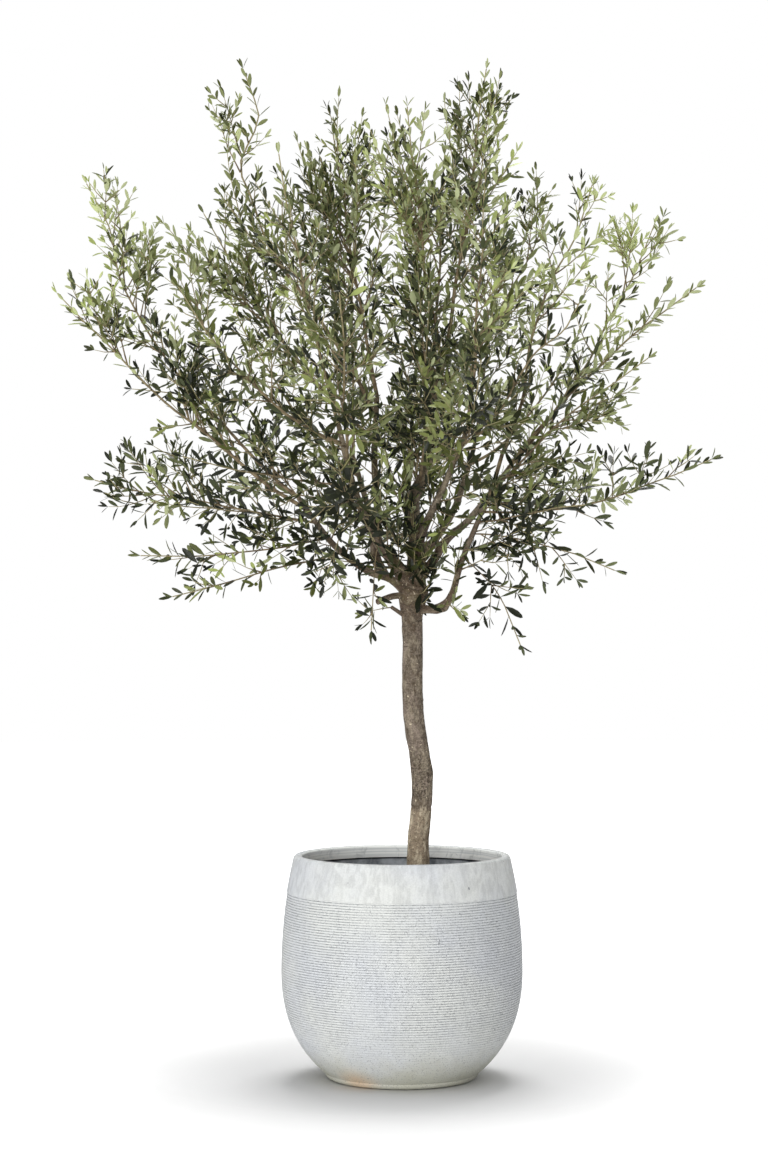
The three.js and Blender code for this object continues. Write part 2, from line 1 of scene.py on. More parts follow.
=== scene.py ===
"""Looks of the potted olive tree: planter, compost, bark, twigs and leaves.

Everything is in metres, +Z up and -Y to the front, in the frame of the CAD part. The limbs and the
stems of the crown follow the courses of the CAD part. The twigs follow its rule, carried on to
finer shoots that bear leaves in opposite pairs.
"""

import logging
import math
from collections.abc import Callable, Iterable, Sequence
from dataclasses import dataclass, field
from enum import Enum
from functools import cached_property

import bmesh
import bpy
import numpy as np
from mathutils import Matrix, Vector, noise
from mathutils.kdtree import KDTree


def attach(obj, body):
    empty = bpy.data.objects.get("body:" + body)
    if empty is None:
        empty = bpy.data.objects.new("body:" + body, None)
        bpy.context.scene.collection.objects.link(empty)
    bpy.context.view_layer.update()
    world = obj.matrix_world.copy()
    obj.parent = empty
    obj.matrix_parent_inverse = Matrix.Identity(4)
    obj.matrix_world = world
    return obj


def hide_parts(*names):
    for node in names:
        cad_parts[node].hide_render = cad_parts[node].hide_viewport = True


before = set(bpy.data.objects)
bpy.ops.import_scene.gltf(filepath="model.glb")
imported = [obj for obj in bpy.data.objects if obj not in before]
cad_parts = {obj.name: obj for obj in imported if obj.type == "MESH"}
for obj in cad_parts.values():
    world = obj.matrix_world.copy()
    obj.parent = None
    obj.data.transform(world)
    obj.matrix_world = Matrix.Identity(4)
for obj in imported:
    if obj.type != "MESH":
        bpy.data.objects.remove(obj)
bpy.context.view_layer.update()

log = logging.getLogger("olive_tree")

Point = Sequence[float]
Pair = tuple[float, float]
Colour = tuple[float, float, float, float]
Array = np.ndarray
Material = bpy.types.Material
Socket = bpy.types.NodeSocket

BODY = "root"
COARSE_SEED = 100
SPRAY_SEED = 1065
FINE_SEED = 9000
WILD_SEED = 30000
SPROUT_SEED = 50000
SHOOT_SEED = 60000
CRUMB_SEED = 70000
QUARTER_TURN = math.pi / 2
UP = np.array([0.0, 0.0, 1.0])
WHITE: Colour = (1.0, 1.0, 1.0, 1.0)


# Small sums

def mix(low: float, high: float, share: float) -> float:
    """Returns the value that lies a share of the way from low to high."""
    return low + (high - low) * share


def smooth(low: float, high: float, value: float | Array) -> float | Array:
    """Returns how far a value, or each of an array, has come between two limits, eased, 0 to 1."""
    share = np.clip((value - low) / (high - low), 0.0, 1.0)
    return share * share * (3 - 2 * share)


def unit(vector: Array) -> Array:
    """Returns a vector, or each row of an array of vectors, at length one."""
    return vector / np.maximum(np.linalg.norm(vector, axis=-1, keepdims=True), 1e-12)


def square_to(axis: Array) -> Array:
    """Returns a level direction square to an axis, both of length one."""
    upright = np.array([0.0, 1.0, 0.0]) if abs(axis[2]) > 0.95 else UP
    return unit(np.cross(upright, axis))


def leaning(axis: Array, across: Array, degrees: float, turn: float) -> Array:
    """Leans a direction off an axis.

    Args:
        axis: The axis, of length one.
        across: A direction square to the axis, from which the turn is counted.
        degrees: The angle between the axis and the result.
        turn: The turn about the axis, in radians.

    Returns:
        The leaning direction, of length one.
    """
    other = unit(np.cross(axis, across))
    sideways = across * math.cos(turn) + other * math.sin(turn)
    lean = math.radians(degrees)
    return axis * math.cos(lean) + sideways * math.sin(lean)


class Dice:
    """A repeatable source of numbers, the same as the CAD part's own."""

    def __init__(self, seed: int) -> None:
        """Starts the dice from a seed."""
        self.state = ((seed + 1) * 2654435761) & 0xFFFFFFFF
        self.next()

    def next(self) -> float:
        """Returns the next number from 0 to 1."""
        self.state = (self.state * 1664525 + 1013904223) & 0xFFFFFFFF
        return self.state / 4294967296

    def between(self, low: float, high: float) -> float:
        """Returns the next number between two limits."""
        return mix(low, high, self.next())

    def play(self, reach: float) -> float:
        """Returns the next number up to a reach to either side of 0."""
        return self.between(-reach, reach)


# Lines

@dataclass
class Line:
    """The middle line of a limb or twig, measured along its own length."""

    points: Array
    marks: Array = field(init=False)

    def __post_init__(self) -> None:
        """Measures how far along the line each of its points lies."""
        steps = np.linalg.norm(np.diff(self.points, axis=0), axis=1)
        self.marks = np.concatenate([[0.0], np.cumsum(steps)])

    @property
    def length(self) -> float:
        """The length of the line."""
        return float(self.marks[-1])

    def at(self, share: float | Array) -> Array:
        """Returns the point at a share of the length, or a row for each share of an array."""
        way = np.clip(share, 0.0, 1.0) * self.length
        return np.stack([np.interp(way, self.marks, self.points[:, i]) for i in range(3)], axis=-1)

    def tangent(self, share: float) -> Array:
        """Returns the way the line runs at a share of its length."""
        return unit(self.at(share + 0.004) - self.at(share - 0.004))

    def spaced(self, steps: int) -> Array:
        """Returns points spaced evenly along the line, its ends among them."""
        return self.at(np.linspace(0.0, 1.0, steps + 1))


def course_line(course: Iterable[Point], steps: int = 40) -> Line:
    """Runs a smooth line through the points of a course, as a centripetal Catmull-Rom curve does.

    Args:
        course: The points, from the foot to the tip.
        steps: How many straight steps stand for the curve between two points.

    Returns:
        The line.
    """
    inner = [np.array(point, float) for point in course]
    points = [2 * inner[0] - inner[1], *inner, 2 * inner[-1] - inner[-2]]
    share = np.linspace(0.0, 1.0, steps, endpoint=False)[:, None]
    rows = []
    for before, start, end, after in zip(points, points[1:], points[2:], points[3:]):
        gap_before, gap, gap_after = (
            math.sqrt(np.linalg.norm(b - a)) for a, b in ((before, start), (start, end), (end, after))
        )
        leave = (start - before) / gap_before - (end - before) / (gap_before + gap) + (end - start) / gap
        reach = (end - start) / gap - (after - start) / (gap + gap_after) + (after - end) / gap_after
        leave, reach = leave * gap, reach * gap
        rows.append(
            start
            + leave * share
            + (3 * (end - start) - 2 * leave - reach) * share**2
            + (2 * (start - end) + leave + reach) * share**3
        )
    return Line(np.vstack([*rows, inner[-1]]))


def hanging_line(foot: Array, tip: Array, hang: float, steps: int = 60) -> Line:
    """Hangs a line from its foot to its tip.

    Args:
        foot: Where the line starts.
        tip: Where it ends.
        hang: How far it hangs below the straight line, as a share of the distance.
        steps: How many straight steps stand for the curve.

    Returns:
        The line.
    """
    middle = hanging_middle(foot, tip, hang)
    share = np.linspace(0.0, 1.0, steps + 1)[:, None]
    return Line((1 - share) ** 2 * foot + 2 * share * (1 - share) * middle + share**2 * tip)


def hanging_middle(foot: Array, tip: Array, hang: float) -> Array:
    """Returns the point that pulls a hanging line down."""
    return (foot + tip) / 2 - UP * 2 * hang * np.linalg.norm(tip - foot)


def point_tree(points: Sequence[Point]) -> KDTree:
    """Maps points, so that the nearest one to a place is found fast.

    Args:
        points: The points.

    Returns:
        The map.
    """
    tree = KDTree(len(points))
    for index, point in enumerate(points):
        tree.insert(point, index)
    tree.balance()
    return tree


# Forms and pieces

@dataclass
class Form:
    """Vertices, triangles, and for each triangle the number of its finish."""

    vertices: Array
    faces: Array
    finishes: Array

    @classmethod
    def plain(cls, vertices: Array, faces: Array) -> "Form":
        """Returns a form whose triangles all have the first finish."""
        return cls(vertices, faces, np.zeros(len(faces), int))

    @classmethod
    def joined(cls, forms: Sequence["Form"]) -> "Form":
        """Joins several forms as one.

        Args:
            forms: The forms to join.

        Returns:
            One form that holds them all.
        """
        starts = np.cumsum([0, *(len(form.vertices) for form in forms[:-1])])
        return cls(
            np.vstack([form.vertices for form in forms]),
            np.vstack([form.faces + start for form, start in zip(forms, starts)]),
            np.concatenate([form.finishes for form in forms]),
        )

    def mesh(self, name: str) -> bpy.types.Mesh:
        """Makes a smooth mesh of the form.

        Args:
            name: The mesh's name.

        Returns:
            The mesh.
        """
        made = bpy.data.meshes.new(name)
        made.from_pydata(self.vertices.tolist(), [], self.faces.tolist())
        made.polygons.foreach_set("material_index", self.finishes)
        made.shade_smooth()
        return made


def add_object(name: str, data: bpy.types.ID) -> bpy.types.Object:
    """Adds an object to the scene.

    Args:
        name: The object's name.
        data: Its mesh, lamp or camera.

    Returns:
        The object.
    """
    made = bpy.data.objects.new(name, data)
    bpy.context.scene.collection.objects.link(made)
    return made


def place_piece(
    name: str,
    mesh: bpy.types.Mesh,
    finishes: Sequence[Material],
    stands_for: Iterable[str],
) -> None:
    """Puts a finished piece of the tree in the frame.

    Args:
        name: The piece's name.
        mesh: Its mesh, in the frame's own coordinates.
        finishes: Its materials, in the order of the mesh's finish numbers.
        stands_for: The CAD nodes that it replaces.
    """
    for finish in finishes:
        mesh.materials.append(finish)
    piece = add_object(name, mesh)
    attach(piece, BODY)
    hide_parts(*stands_for)
    mesh.calc_loop_triangles()
    log.info("%s: %d triangles", name, len(mesh.loop_triangles))


def corner_angles(sides: int) -> Array:
    """Returns the angles of a ring's corners."""
    return np.arange(sides) * (2 * math.pi / sides)


def ring_spokes(sides: int) -> Array:
    """Returns the level directions of a ring's corners."""
    angles = corner_angles(sides)
    return np.stack([np.cos(angles), np.sin(angles), np.zeros(sides)], -1)


def ring_faces(rings: int, sides: int) -> Array:
    """Lists the triangles between rings of corners, and the fans that close the first and last ring.

    Args:
        rings: How many rings there are.
        sides: How many corners a ring has.

    Returns:
        The triangles. The middles of the two fans come after the rings' own corners.
    """
    corner = np.arange(sides)
    following = (corner + 1) % sides
    starts = (np.arange(rings - 1) * sides)[:, None]
    near, near_next = starts + corner, starts + following
    far, far_next = near + sides, near_next + sides
    foot, tip = rings * sides, rings * sides + 1
    last = (rings - 1) * sides
    return np.vstack([
        np.stack([near, near_next, far_next], -1).reshape(-1, 3),
        np.stack([near, far_next, far], -1).reshape(-1, 3),
        np.stack([np.full(sides, foot), following, corner], -1),
        np.stack([np.full(sides, tip), last + corner, last + following], -1),
    ])


def tube(
    points: Array,
    radii: Array,
    sides: int,
    across: Array | None = None,
) -> Form:
    """Sweeps a closed round form along points.

    Args:
        points: The middle of each ring, from the foot to the tip.
        radii: The radius of each ring, or a row for each ring with a radius for each side.
        sides: How many sides a ring has.
        across: The direction of the first ring's first corner.

    Returns:
        The closed form.
    """
    ways = unit(np.gradient(points, axis=0))
    across = square_to(ways[0]) if across is None else across
    angles = corner_angles(sides)
    rings = []
    for point, way, radius in zip(points, ways, radii):
        across = unit(across - way * (across @ way))
        spokes = np.outer(np.cos(angles), across) + np.outer(np.sin(angles), np.cross(way, across))
        rings.append(point + spokes * np.reshape(radius, (-1, 1)))
    vertices = np.vstack([*rings, points[:1], points[-1:]])
    return Form.plain(vertices, ring_faces(len(points), sides))


# Finishes

def paint(red: float, green: float, blue: float) -> Colour:
    """Returns the linear colour of red, green and blue as a screen shows them, each from 0 to 255."""
    shown = (value / 255 for value in (red, green, blue))
    return (*(v / 12.92 if v <= 0.04045 else ((v + 0.055) / 1.055) ** 2.4 for v in shown), 1.0)


class Nodes:
    """A tree of nodes that is added to."""

    def __init__(self, tree: bpy.types.NodeTree) -> None:
        """Takes up a tree."""
        self.tree = tree

    def feed(self, socket: Socket, value: object) -> None:
        """Links a socket to another one, or sets its value."""
        if isinstance(value, Socket):
            self.tree.links.new(value, socket)
        else:
            socket.default_value = value

    def node(self, kind: str, inputs: dict[int | str, object], **settings: object) -> bpy.types.Node:
        """Adds a node.

        Args:
            kind: The node's type, without ShaderNode in front.
            inputs: What goes into its sockets, by their number or name.
            **settings: The node's own settings.

        Returns:
            The node.
        """
        made = self.tree.nodes.new("ShaderNode" + kind)
        for setting, value in settings.items():
            setattr(made, setting, value)
        for socket, value in inputs.items():
            self.feed(made.inputs[socket], value)
        return made


class Board(Nodes):
    """The node board of one material."""

    def __init__(self, name: str) -> None:
        """Starts a material with a plain surface shader."""
        self.material = bpy.data.materials.new(name)
        self.material.use_nodes = True
        super().__init__(self.material.node_tree)
        self.surface = self.tree.nodes["Principled BSDF"]

    @cached_property
    def place(self) -> Socket:
        """The place on the piece, in metres."""
        return self.node("TexCoord", {}).outputs["Object"]

    @cached_property
    def up(self) -> Socket:
        """The height of the place."""
        return self.node("SeparateXYZ", {0: self.place}).outputs["Z"]

    def stored(self, name: str, output: str = "Vector") -> Socket:
        """Returns what the mesh stores under a name."""
        return self.node("Attribute", {}, attribute_name=name).outputs[output]

    def sum(self, operation: str, first: object, second: object = 0.0) -> Socket:
        """Returns the result of a sum."""
        return self.node("Math", {0: first, 1: second}, operation=operation).outputs[0]

    def times(self, first: object, second: object) -> Socket:
        """Returns one value times another."""
        return self.sum("MULTIPLY", first, second)

    def off(self, value: object, middle: float) -> Socket:
        """Returns how far a value lies off a middle value."""
        return self.sum("ABSOLUTE", self.sum("SUBTRACT", value, middle))

    def away(self, point: Point) -> Socket:
        """Returns how far the place lies from a point."""
        return self.node("VectorMath", {0: self.place, 1: point}, operation="DISTANCE").outputs["Value"]

    def stretched(self, place: Socket, scale: Point) -> Socket:
        """Returns a place scaled along each axis."""
        return self.node("Mapping", {"Vector": place, "Scale": scale}).outputs[0]

    def cloud(self, place: Socket, scale: float | Point, detail: float = 3.0,
              roughness: float = 0.5, distortion: float = 0.0) -> Socket:
        """Adds a cloudy pattern.

        Args:
            place: The place that the pattern is read at.
            scale: How many clouds there are to a metre, or to a metre along each axis.
            detail: How many finer layers it has.
            roughness: How strong the finer layers are.
            distortion: How far it is swirled.

        Returns:
            The pattern, from 0 to 1.
        """
        if isinstance(scale, tuple):
            place, scale = self.stretched(place, scale), 1.0
        inputs = {"Vector": place, "Scale": scale, "Detail": detail}
        inputs.update({"Roughness": roughness, "Distortion": distortion})
        return self.node("TexNoise", inputs).outputs[0]

    def ramp(self, value: object, start: float, end: float,
             low: float = 0.0, high: float = 1.0) -> Socket:
        """Eases from one value to another.

        Args:
            value: What is read.
            start: Where the result leaves the low value.
            end: Where it reaches the high value.
            low: The result at the start.
            high: The result at the end.

        Returns:
            The eased value.
        """
        inputs = {0: value, 1: start, 2: end, 3: low, 4: high}
        return self.node("MapRange", inputs, interpolation_type="SMOOTHSTEP").outputs[0]

    def blend(self, share: object, first: object, second: object, mode: str = "MIX") -> Socket:
        """Returns a colour blended with a share of a second one."""
        inputs = {0: share, 6: first, 7: second}
        return self.node("Mix", inputs, data_type="RGBA", blend_type=mode).outputs[2]

    def relief(self, height: object, depth: float, strength: float = 1.0) -> None:
        """Gives the surface a fine relief of a depth in metres."""
        bump = self.node("Bump", {"Height": height, "Distance": depth, "Strength": strength})
        self.feed(self.surface.inputs["Normal"], bump.outputs[0])

    def finish(self, colour: object, roughness: object, gloss: float = 0.5) -> Material:
        """Sets the surface's colour, roughness and gloss.

        Args:
            colour: The base colour.
            roughness: The roughness.
            gloss: The specular level, the same all over.

        Returns:
            The finished material.
        """
        self.feed(self.surface.inputs["Base Color"], colour)
        self.feed(self.surface.inputs["Roughness"], roughness)
        self.surface.inputs["Specular IOR Level"].default_value = gloss
        return self.material


@dataclass(frozen=True)
class FibreClay:
    """Pale fibre clay with a brushed rim band, combed grooves darkened with painted shade, and a
    weathered foot.
    """

    pitch: float
    comb_foot: float
    comb_top: float
    pale: Colour = paint(220, 222, 219)
    cool: Colour = paint(209, 212, 216)
    # Painted shade: the groove lines take this darker colour in place of each ridge's shadow.
    groove: Colour = paint(126, 129, 134)
    band_shade: float = 0.94
    weathered: Colour = paint(188, 187, 170)
    rust: Colour = paint(216, 180, 142)
    pit: Colour = paint(116, 118, 122)
    stain_place: Point = (-0.105, -0.155, 0.016)

    def make(self) -> Material:
        """Mixes the finish.

        Returns:
            The material.
        """
        board = Board("fibre_clay")
        grooves = self.grooves(board)
        # Painted shade: the groove lines are darkened for the shadow of the ridges.
        clay = board.blend(grooves, self.clay(board), self.groove)
        clay = self.weather(board, clay)
        pits = board.ramp(board.cloud(board.place, 75.0, 1.0), 0.765, 0.8, 0.0, 0.8)
        clay = board.blend(pits, clay, self.pit)
        specks = board.ramp(board.cloud(board.place, 330.0, 1.0), 0.62, 0.68, 0.0, 0.55)
        combed = board.ramp(board.up, self.comb_top - 0.001, self.comb_top, 1.0, 0.0)
        clay = board.blend(board.times(specks, combed), clay, self.pit)
        grit = board.cloud(board.place, 420.0, 2.0, 0.7)
        height = board.sum("SUBTRACT", grit, grooves)
        board.relief(height, 0.0006)
        return board.finish(clay, board.ramp(grit, 0.2, 0.8, 0.74, 0.9), 0.3)

    def clay(self, board: Board) -> Socket:
        """Mottles the clay, with brushed streaks and swirls that show most on the rim band.

        Args:
            board: The material's board.

        Returns:
            The colour.
        """
        place = board.place
        clouds = board.ramp(board.cloud(place, 4.5, 4.0, 0.6), 0.3, 0.7)
        colour = board.blend(clouds, self.cool, self.pale)
        streaks = board.cloud(place, (150.0, 150.0, 10.0), 4.0, 0.65, 0.6)
        swirl = board.node(
            "TexWave",
            {"Vector": board.stretched(place, (1.0, 1.0, 0.55)), "Scale": 9.0, "Distortion": 14.0,
             "Detail": 3.0, "Detail Scale": 1.6, "Detail Roughness": 0.65},
            wave_type="RINGS",
            rings_direction="SPHERICAL",
        ).outputs["Fac"]
        brushed = board.sum("ADD", board.times(streaks, 0.78), board.times(swirl, 0.22))
        band = board.ramp(board.up, self.comb_top, self.comb_top + 0.001)
        strokes = board.ramp(brushed, 0.3, 0.66, -0.11, 0.07)
        strokes = board.times(strokes, board.ramp(band, 0.0, 1.0, 0.35, 1.0))
        grit = board.ramp(board.cloud(place, 300.0, 2.0, 0.7), 0.25, 0.75, 0.93, 1.07)
        shade = board.times(board.sum("ADD", strokes, 1.0), grit)
        shade = board.times(shade, board.ramp(band, 0.0, 1.0, 1.0, self.band_shade))
        grey = board.node("CombineXYZ", {0: shade, 1: shade, 2: shade}).outputs[0]
        return board.blend(1.0, colour, grey, "MULTIPLY")

    def grooves(self, board: Board) -> Socket:
        """Finds the combed grooves: thin broken lines between the foot and the rim band, which darken
        the colour as painted shade of the ridges and sink the relief.

        Args:
            board: The material's board.

        Returns:
            How much of a groove a place is, from 0 to 1.
        """
        place, up = board.place, board.up
        waver = board.times(board.sum("SUBTRACT", board.cloud(place, 9.0, 1.0), 0.5), 0.0008)
        near = board.sum("PINGPONG", board.sum("ADD", up, waver), self.pitch / 2)
        line = board.ramp(near, 0.0003, 0.0014, 1.0, 0.0)
        broken = board.cloud(board.stretched(place, (1.0, 1.0, 2.0)), 130.0, 3.0, 0.75)
        faint = board.cloud(board.stretched(place, (1.0, 1.0, 0.4)), 7.0, 2.0, 0.6)
        line = board.times(line, board.ramp(broken, 0.4, 0.6, 0.5, 1.0))
        line = board.times(line, board.ramp(faint, 0.3, 0.65, 0.6, 1.0))
        line = board.times(line, board.ramp(up, self.comb_foot, self.comb_foot + 0.14))
        return board.times(line, board.ramp(up, self.comb_top - 0.001, self.comb_top, 1.0, 0.0))

    def weather(self, board: Board, clay: Socket) -> Socket:
        """Weathers the foot of the planter, with a rusty stain to the front left.

        Args:
            board: The material's board.
            clay: The clay's colour.

        Returns:
            The colour with the weathering.
        """
        patches = board.cloud(board.place, 11.0, 4.0, 0.65)
        level = board.sum("ADD", board.up, board.times(patches, -0.11))
        clay = board.blend(board.ramp(level, -0.055, 0.05, 0.85, 0.0), clay, self.weathered)
        away = board.sum("ADD", board.away(self.stain_place), board.times(patches, 0.06))
        return board.blend(board.ramp(away, 0.025, 0.095, 0.6, 0.0), clay, self.rust)


@dataclass(frozen=True)
class RimCoat:
    """The pale, mottled coat inside the rim, drawn out in level lines."""

    pale: Colour = paint(246, 248, 245)
    shade: Colour = paint(214, 218, 218)
    mottle: Colour = paint(186, 190, 191)

    def make(self) -> Material:
        """Mixes the finish.

        Returns:
            The material.
        """
        board = Board("rim_coat")
        place = board.place
        lines = board.cloud(place, (2.5, 2.5, 230.0), 3.0, 0.6)
        colour = board.blend(board.ramp(lines, 0.36, 0.58), self.shade, self.pale)
        mottles = board.cloud(place, 34.0, 4.0, 0.65, 1.2)
        colour = board.blend(board.ramp(mottles, 0.5, 0.68, 0.0, 0.6), colour, self.mottle)
        board.relief(lines, 0.0004)
        return board.finish(colour, 0.8, 0.3)


@dataclass(frozen=True)
class InnerCoat:
    """The planter's dark, slightly uneven inner wall, with a near-black painted shadow in the joint
    under the rim's coat.
    """

    joint_height: float
    joint_shadow: Colour = paint(22, 24, 28)
    dark: Colour = paint(104, 110, 116)
    light: Colour = paint(182, 188, 194)

    def make(self) -> Material:
        """Mixes the finish.

        Returns:
            The material.
        """
        board = Board("inner_coat")
        place = board.place
        patches = board.cloud(place, 26.0, 4.0, 0.65)
        colour = board.blend(board.ramp(patches, 0.3, 0.7), self.dark, self.light)
        # Painted shadow: a near-black band just under the edge of the rim's coat.
        near = board.ramp(board.up, self.joint_height - 0.007, self.joint_height - 0.002)
        colour = board.blend(near, colour, self.joint_shadow)
        board.relief(board.cloud(place, 210.0, 3.0), 0.0008)
        return board.finish(colour, 0.7, 0.4)


@dataclass(frozen=True)
class Peat:
    """Dark crumbly compost with paler fibres."""

    dark: Colour = paint(38, 30, 24)
    warm: Colour = paint(82, 66, 50)
    fibre: Colour = paint(138, 116, 88)

    def make(self) -> Material:
        """Mixes the finish.

        Returns:
            The material.
        """
        board = Board("peat")
        place = board.place
        clumps = board.cloud(place, 95.0, 5.0, 0.7)
        colour = board.blend(board.ramp(clumps, 0.35, 0.7), self.dark, self.warm)
        threads = board.cloud(place, (260.0, 90.0, 90.0), 2.0, 0.5, 1.5)
        colour = board.blend(board.ramp(threads, 0.66, 0.72, 0.0, 0.8), colour, self.fibre)
        board.relief(board.cloud(place, 420.0, 3.0, 0.7), 0.0015)
        return board.finish(colour, 0.95, 0.2)


@dataclass(frozen=True)
class OliveBark:
    """Grey-brown bark, speckled and wrinkled, with pale lenticels, a tan foot, a greenish fork, and a
    fork and boughs darkened partly with painted shade of the crown.
    """

    grey: Colour = paint(136, 124, 110)
    brown: Colour = paint(92, 79, 64)
    mauve: Colour = paint(158, 142, 130)
    tan: Colour = paint(180, 162, 136)
    pale: Colour = paint(214, 200, 174)
    dark: Colour = paint(58, 52, 42)
    green: Colour = paint(128, 124, 78)
    # The fork and bough colours are dark partly as painted shade of the crown.
    fork_bark_and_shade: Colour = paint(96, 76, 60)
    limb: Colour = paint(104, 92, 68)
    fork_height: float = 1.2
    scar_height: float = 0.65

    def make(self) -> Material:
        """Mixes the finish.

        Returns:
            The material.
        """
        board = Board("olive_bark")
        grain = board.stored("grain")
        split = board.stored("split", "Fac")
        up = board.up
        scales = board.cloud(grain, (130.0, 130.0, 95.0), 4.0, 0.65)
        colour = board.blend(board.ramp(scales, 0.32, 0.66), self.brown, self.grey)
        colour = self.zones(board, grain, colour)
        wrinkles = board.cloud(grain, (45.0, 45.0, 300.0), 3.0, 0.6)
        colour = board.blend(board.ramp(wrinkles, 0.44, 0.32, 0.0, 0.6), colour, self.dark)
        speckles = board.cloud(grain, (250.0, 250.0, 290.0), 2.0, 0.55)
        above_scar = board.ramp(up, self.scar_height + 0.012, self.scar_height + 0.03, 0.15, 1.0)
        under_bend = board.ramp(up, self.scar_height + 0.07, self.scar_height + 0.16, 1.0, 0.45)
        rough = board.times(above_scar, under_bend)
        speckled = board.times(board.ramp(speckles, 0.51, 0.59, 0.0, 0.8), rough)
        colour = board.blend(speckled, colour, self.dark)
        bare = board.ramp(up, self.scar_height + 0.01, self.scar_height, 0.3, 1.0)
        streaks = board.cloud(grain, (62.0, 62.0, 24.0), 3.0, 0.65)
        streaked = board.times(board.ramp(streaks, 0.46, 0.62, 0.0, 0.75), bare)
        colour = board.blend(streaked, colour, self.pale)
        curls = board.cloud(grain, (70.0, 70.0, 120.0), 3.0, 0.6, 1.2)
        curled = board.ramp(board.off(curls, 0.5), 0.0, 0.035, 0.8, 0.0)
        colour = board.blend(board.times(curled, bare), colour, self.brown)
        colour = board.blend(board.times(split, 0.35), colour, self.dark)
        lenticels = board.cloud(grain, (120.0, 120.0, 170.0), 1.0, 0.5)
        colour = board.blend(board.ramp(lenticels, 0.7, 0.75, 0.0, 0.9), colour, self.pale)
        height = board.sum("SUBTRACT", board.sum("ADD", scales, lenticels), speckled)
        board.relief(board.sum("ADD", height, board.times(wrinkles, 0.8)), 0.0016)
        return board.finish(colour, 0.86, 0.3)

    def zones(self, board: Board, grain: Socket, colour: Socket) -> Socket:
        """Tints the bark by its height: tan at the foot, greenish at the fork, and darker at the fork
        and on the boughs, partly as painted shade of the crown.

        Args:
            board: The material's board.
            grain: The place across and along the limb.
            colour: The bark's colour.

        Returns:
            The tinted colour.
        """
        up = board.up
        patches = board.cloud(grain, (22.0, 22.0, 14.0), 3.0, 0.6)
        colour = board.blend(board.ramp(patches, 0.48, 0.66, 0.0, 0.6), colour, self.mauve)
        foot = board.ramp(up, self.scar_height, self.scar_height - 0.012, 0.0, 0.5)
        colour = board.blend(foot, colour, self.tan)
        # Partly painted shade: the boughs above the fork are darkened for the shade of the crown.
        limb = board.ramp(up, self.fork_height + 0.08, self.fork_height + 0.3, 0.0, 0.7)
        colour = board.blend(limb, colour, self.limb)
        # Partly painted shade: the bark round the fork is darkened for the shade of the crown.
        away = board.off(up, self.fork_height)
        colour = board.blend(board.ramp(away, 0.03, 0.17, 0.75, 0.0), colour, self.fork_bark_and_shade)
        mossy = board.ramp(away, 0.0, 0.13, 1.0, 0.0)
        mossy = board.times(mossy, board.ramp(patches, 0.5, 0.3, 0.0, 0.6))
        return board.blend(mossy, colour, self.green)


@dataclass(frozen=True)
class TwigSkin:
    """The smooth skin of stems and twigs, tan-grey low down and greener towards the tips."""

    tan: Colour = paint(148, 131, 102)
    dark: Colour = paint(98, 83, 63)
    fresh: Colour = paint(172, 164, 122)

    def make(self) -> Material:
        """Mixes the finish.

        Returns:
            The material.
        """
        board = Board("twig_skin")
        place = board.place
        patches = board.cloud(place, 60.0, 3.0, 0.6)
        colour = board.blend(board.ramp(patches, 0.35, 0.65), self.dark, self.tan)
        youth = board.ramp(board.stored("youth", "Fac"), 0.2, 1.0, 0.0, 0.85)
        colour = board.blend(youth, colour, self.fresh)
        board.relief(board.cloud(place, 700.0, 2.0), 0.0004)
        return board.finish(colour, 0.7, 0.35)


@dataclass(frozen=True)
class LeafFace:
    """One side of a leaf: a plain colour, with a gloss that varies a little."""

    name: str
    colour: Colour
    roughness: float
    gloss: float

    def make(self) -> Material:
        """Mixes the finish.

        Returns:
            The material.
        """
        board = Board(self.name)
        bloom = board.cloud(board.place, 240.0, 2.0)
        board.relief(bloom, 0.0003)
        roughness = board.ramp(bloom, 0.3, 0.7, self.roughness - 0.05, self.roughness + 0.07)
        return board.finish(self.colour, roughness, self.gloss)


@dataclass(frozen=True)
class LeafTint:
    """The upper side and the underside of the leaves of one kind of spray."""

    upper: Colour
    under: Colour

    def make(self, name: str) -> list[Material]:
        """Makes the materials of both sides.

        Args:
            name: The name that theirs start with.

        Returns:
            The material of the upper side and that of the underside.
        """
        upper = LeafFace(f"{name}_upper", self.upper, roughness=0.48, gloss=0.32)
        under = LeafFace(f"{name}_under", self.under, roughness=0.65, gloss=0.2)
        return [upper.make(), under.make()]


class Tint(Enum):
    """The kinds of spray, from dark to pale: partly real variety, partly painted shade and painted
    light.
    """

    DARK = LeafTint(paint(27, 32, 14), paint(82, 89, 62))
    MID = LeafTint(paint(50, 55, 24), paint(108, 115, 78))
    OLIVE = LeafTint(paint(84, 90, 41), paint(140, 147, 101))
    LIGHT = LeafTint(paint(135, 143, 84), paint(182, 189, 145))
    YOUNG = LeafTint(paint(166, 178, 106), paint(202, 210, 156))


# How often each tint is dealt low in the heart of the crown and at its top and outside, as painted shade
# and painted light.
TINT_WEIGHTS: list[Pair] = [(0.48, 0.03), (0.29, 0.15), (0.15, 0.26), (0.09, 0.32), (0.02, 0.21)]


# Planter and compost

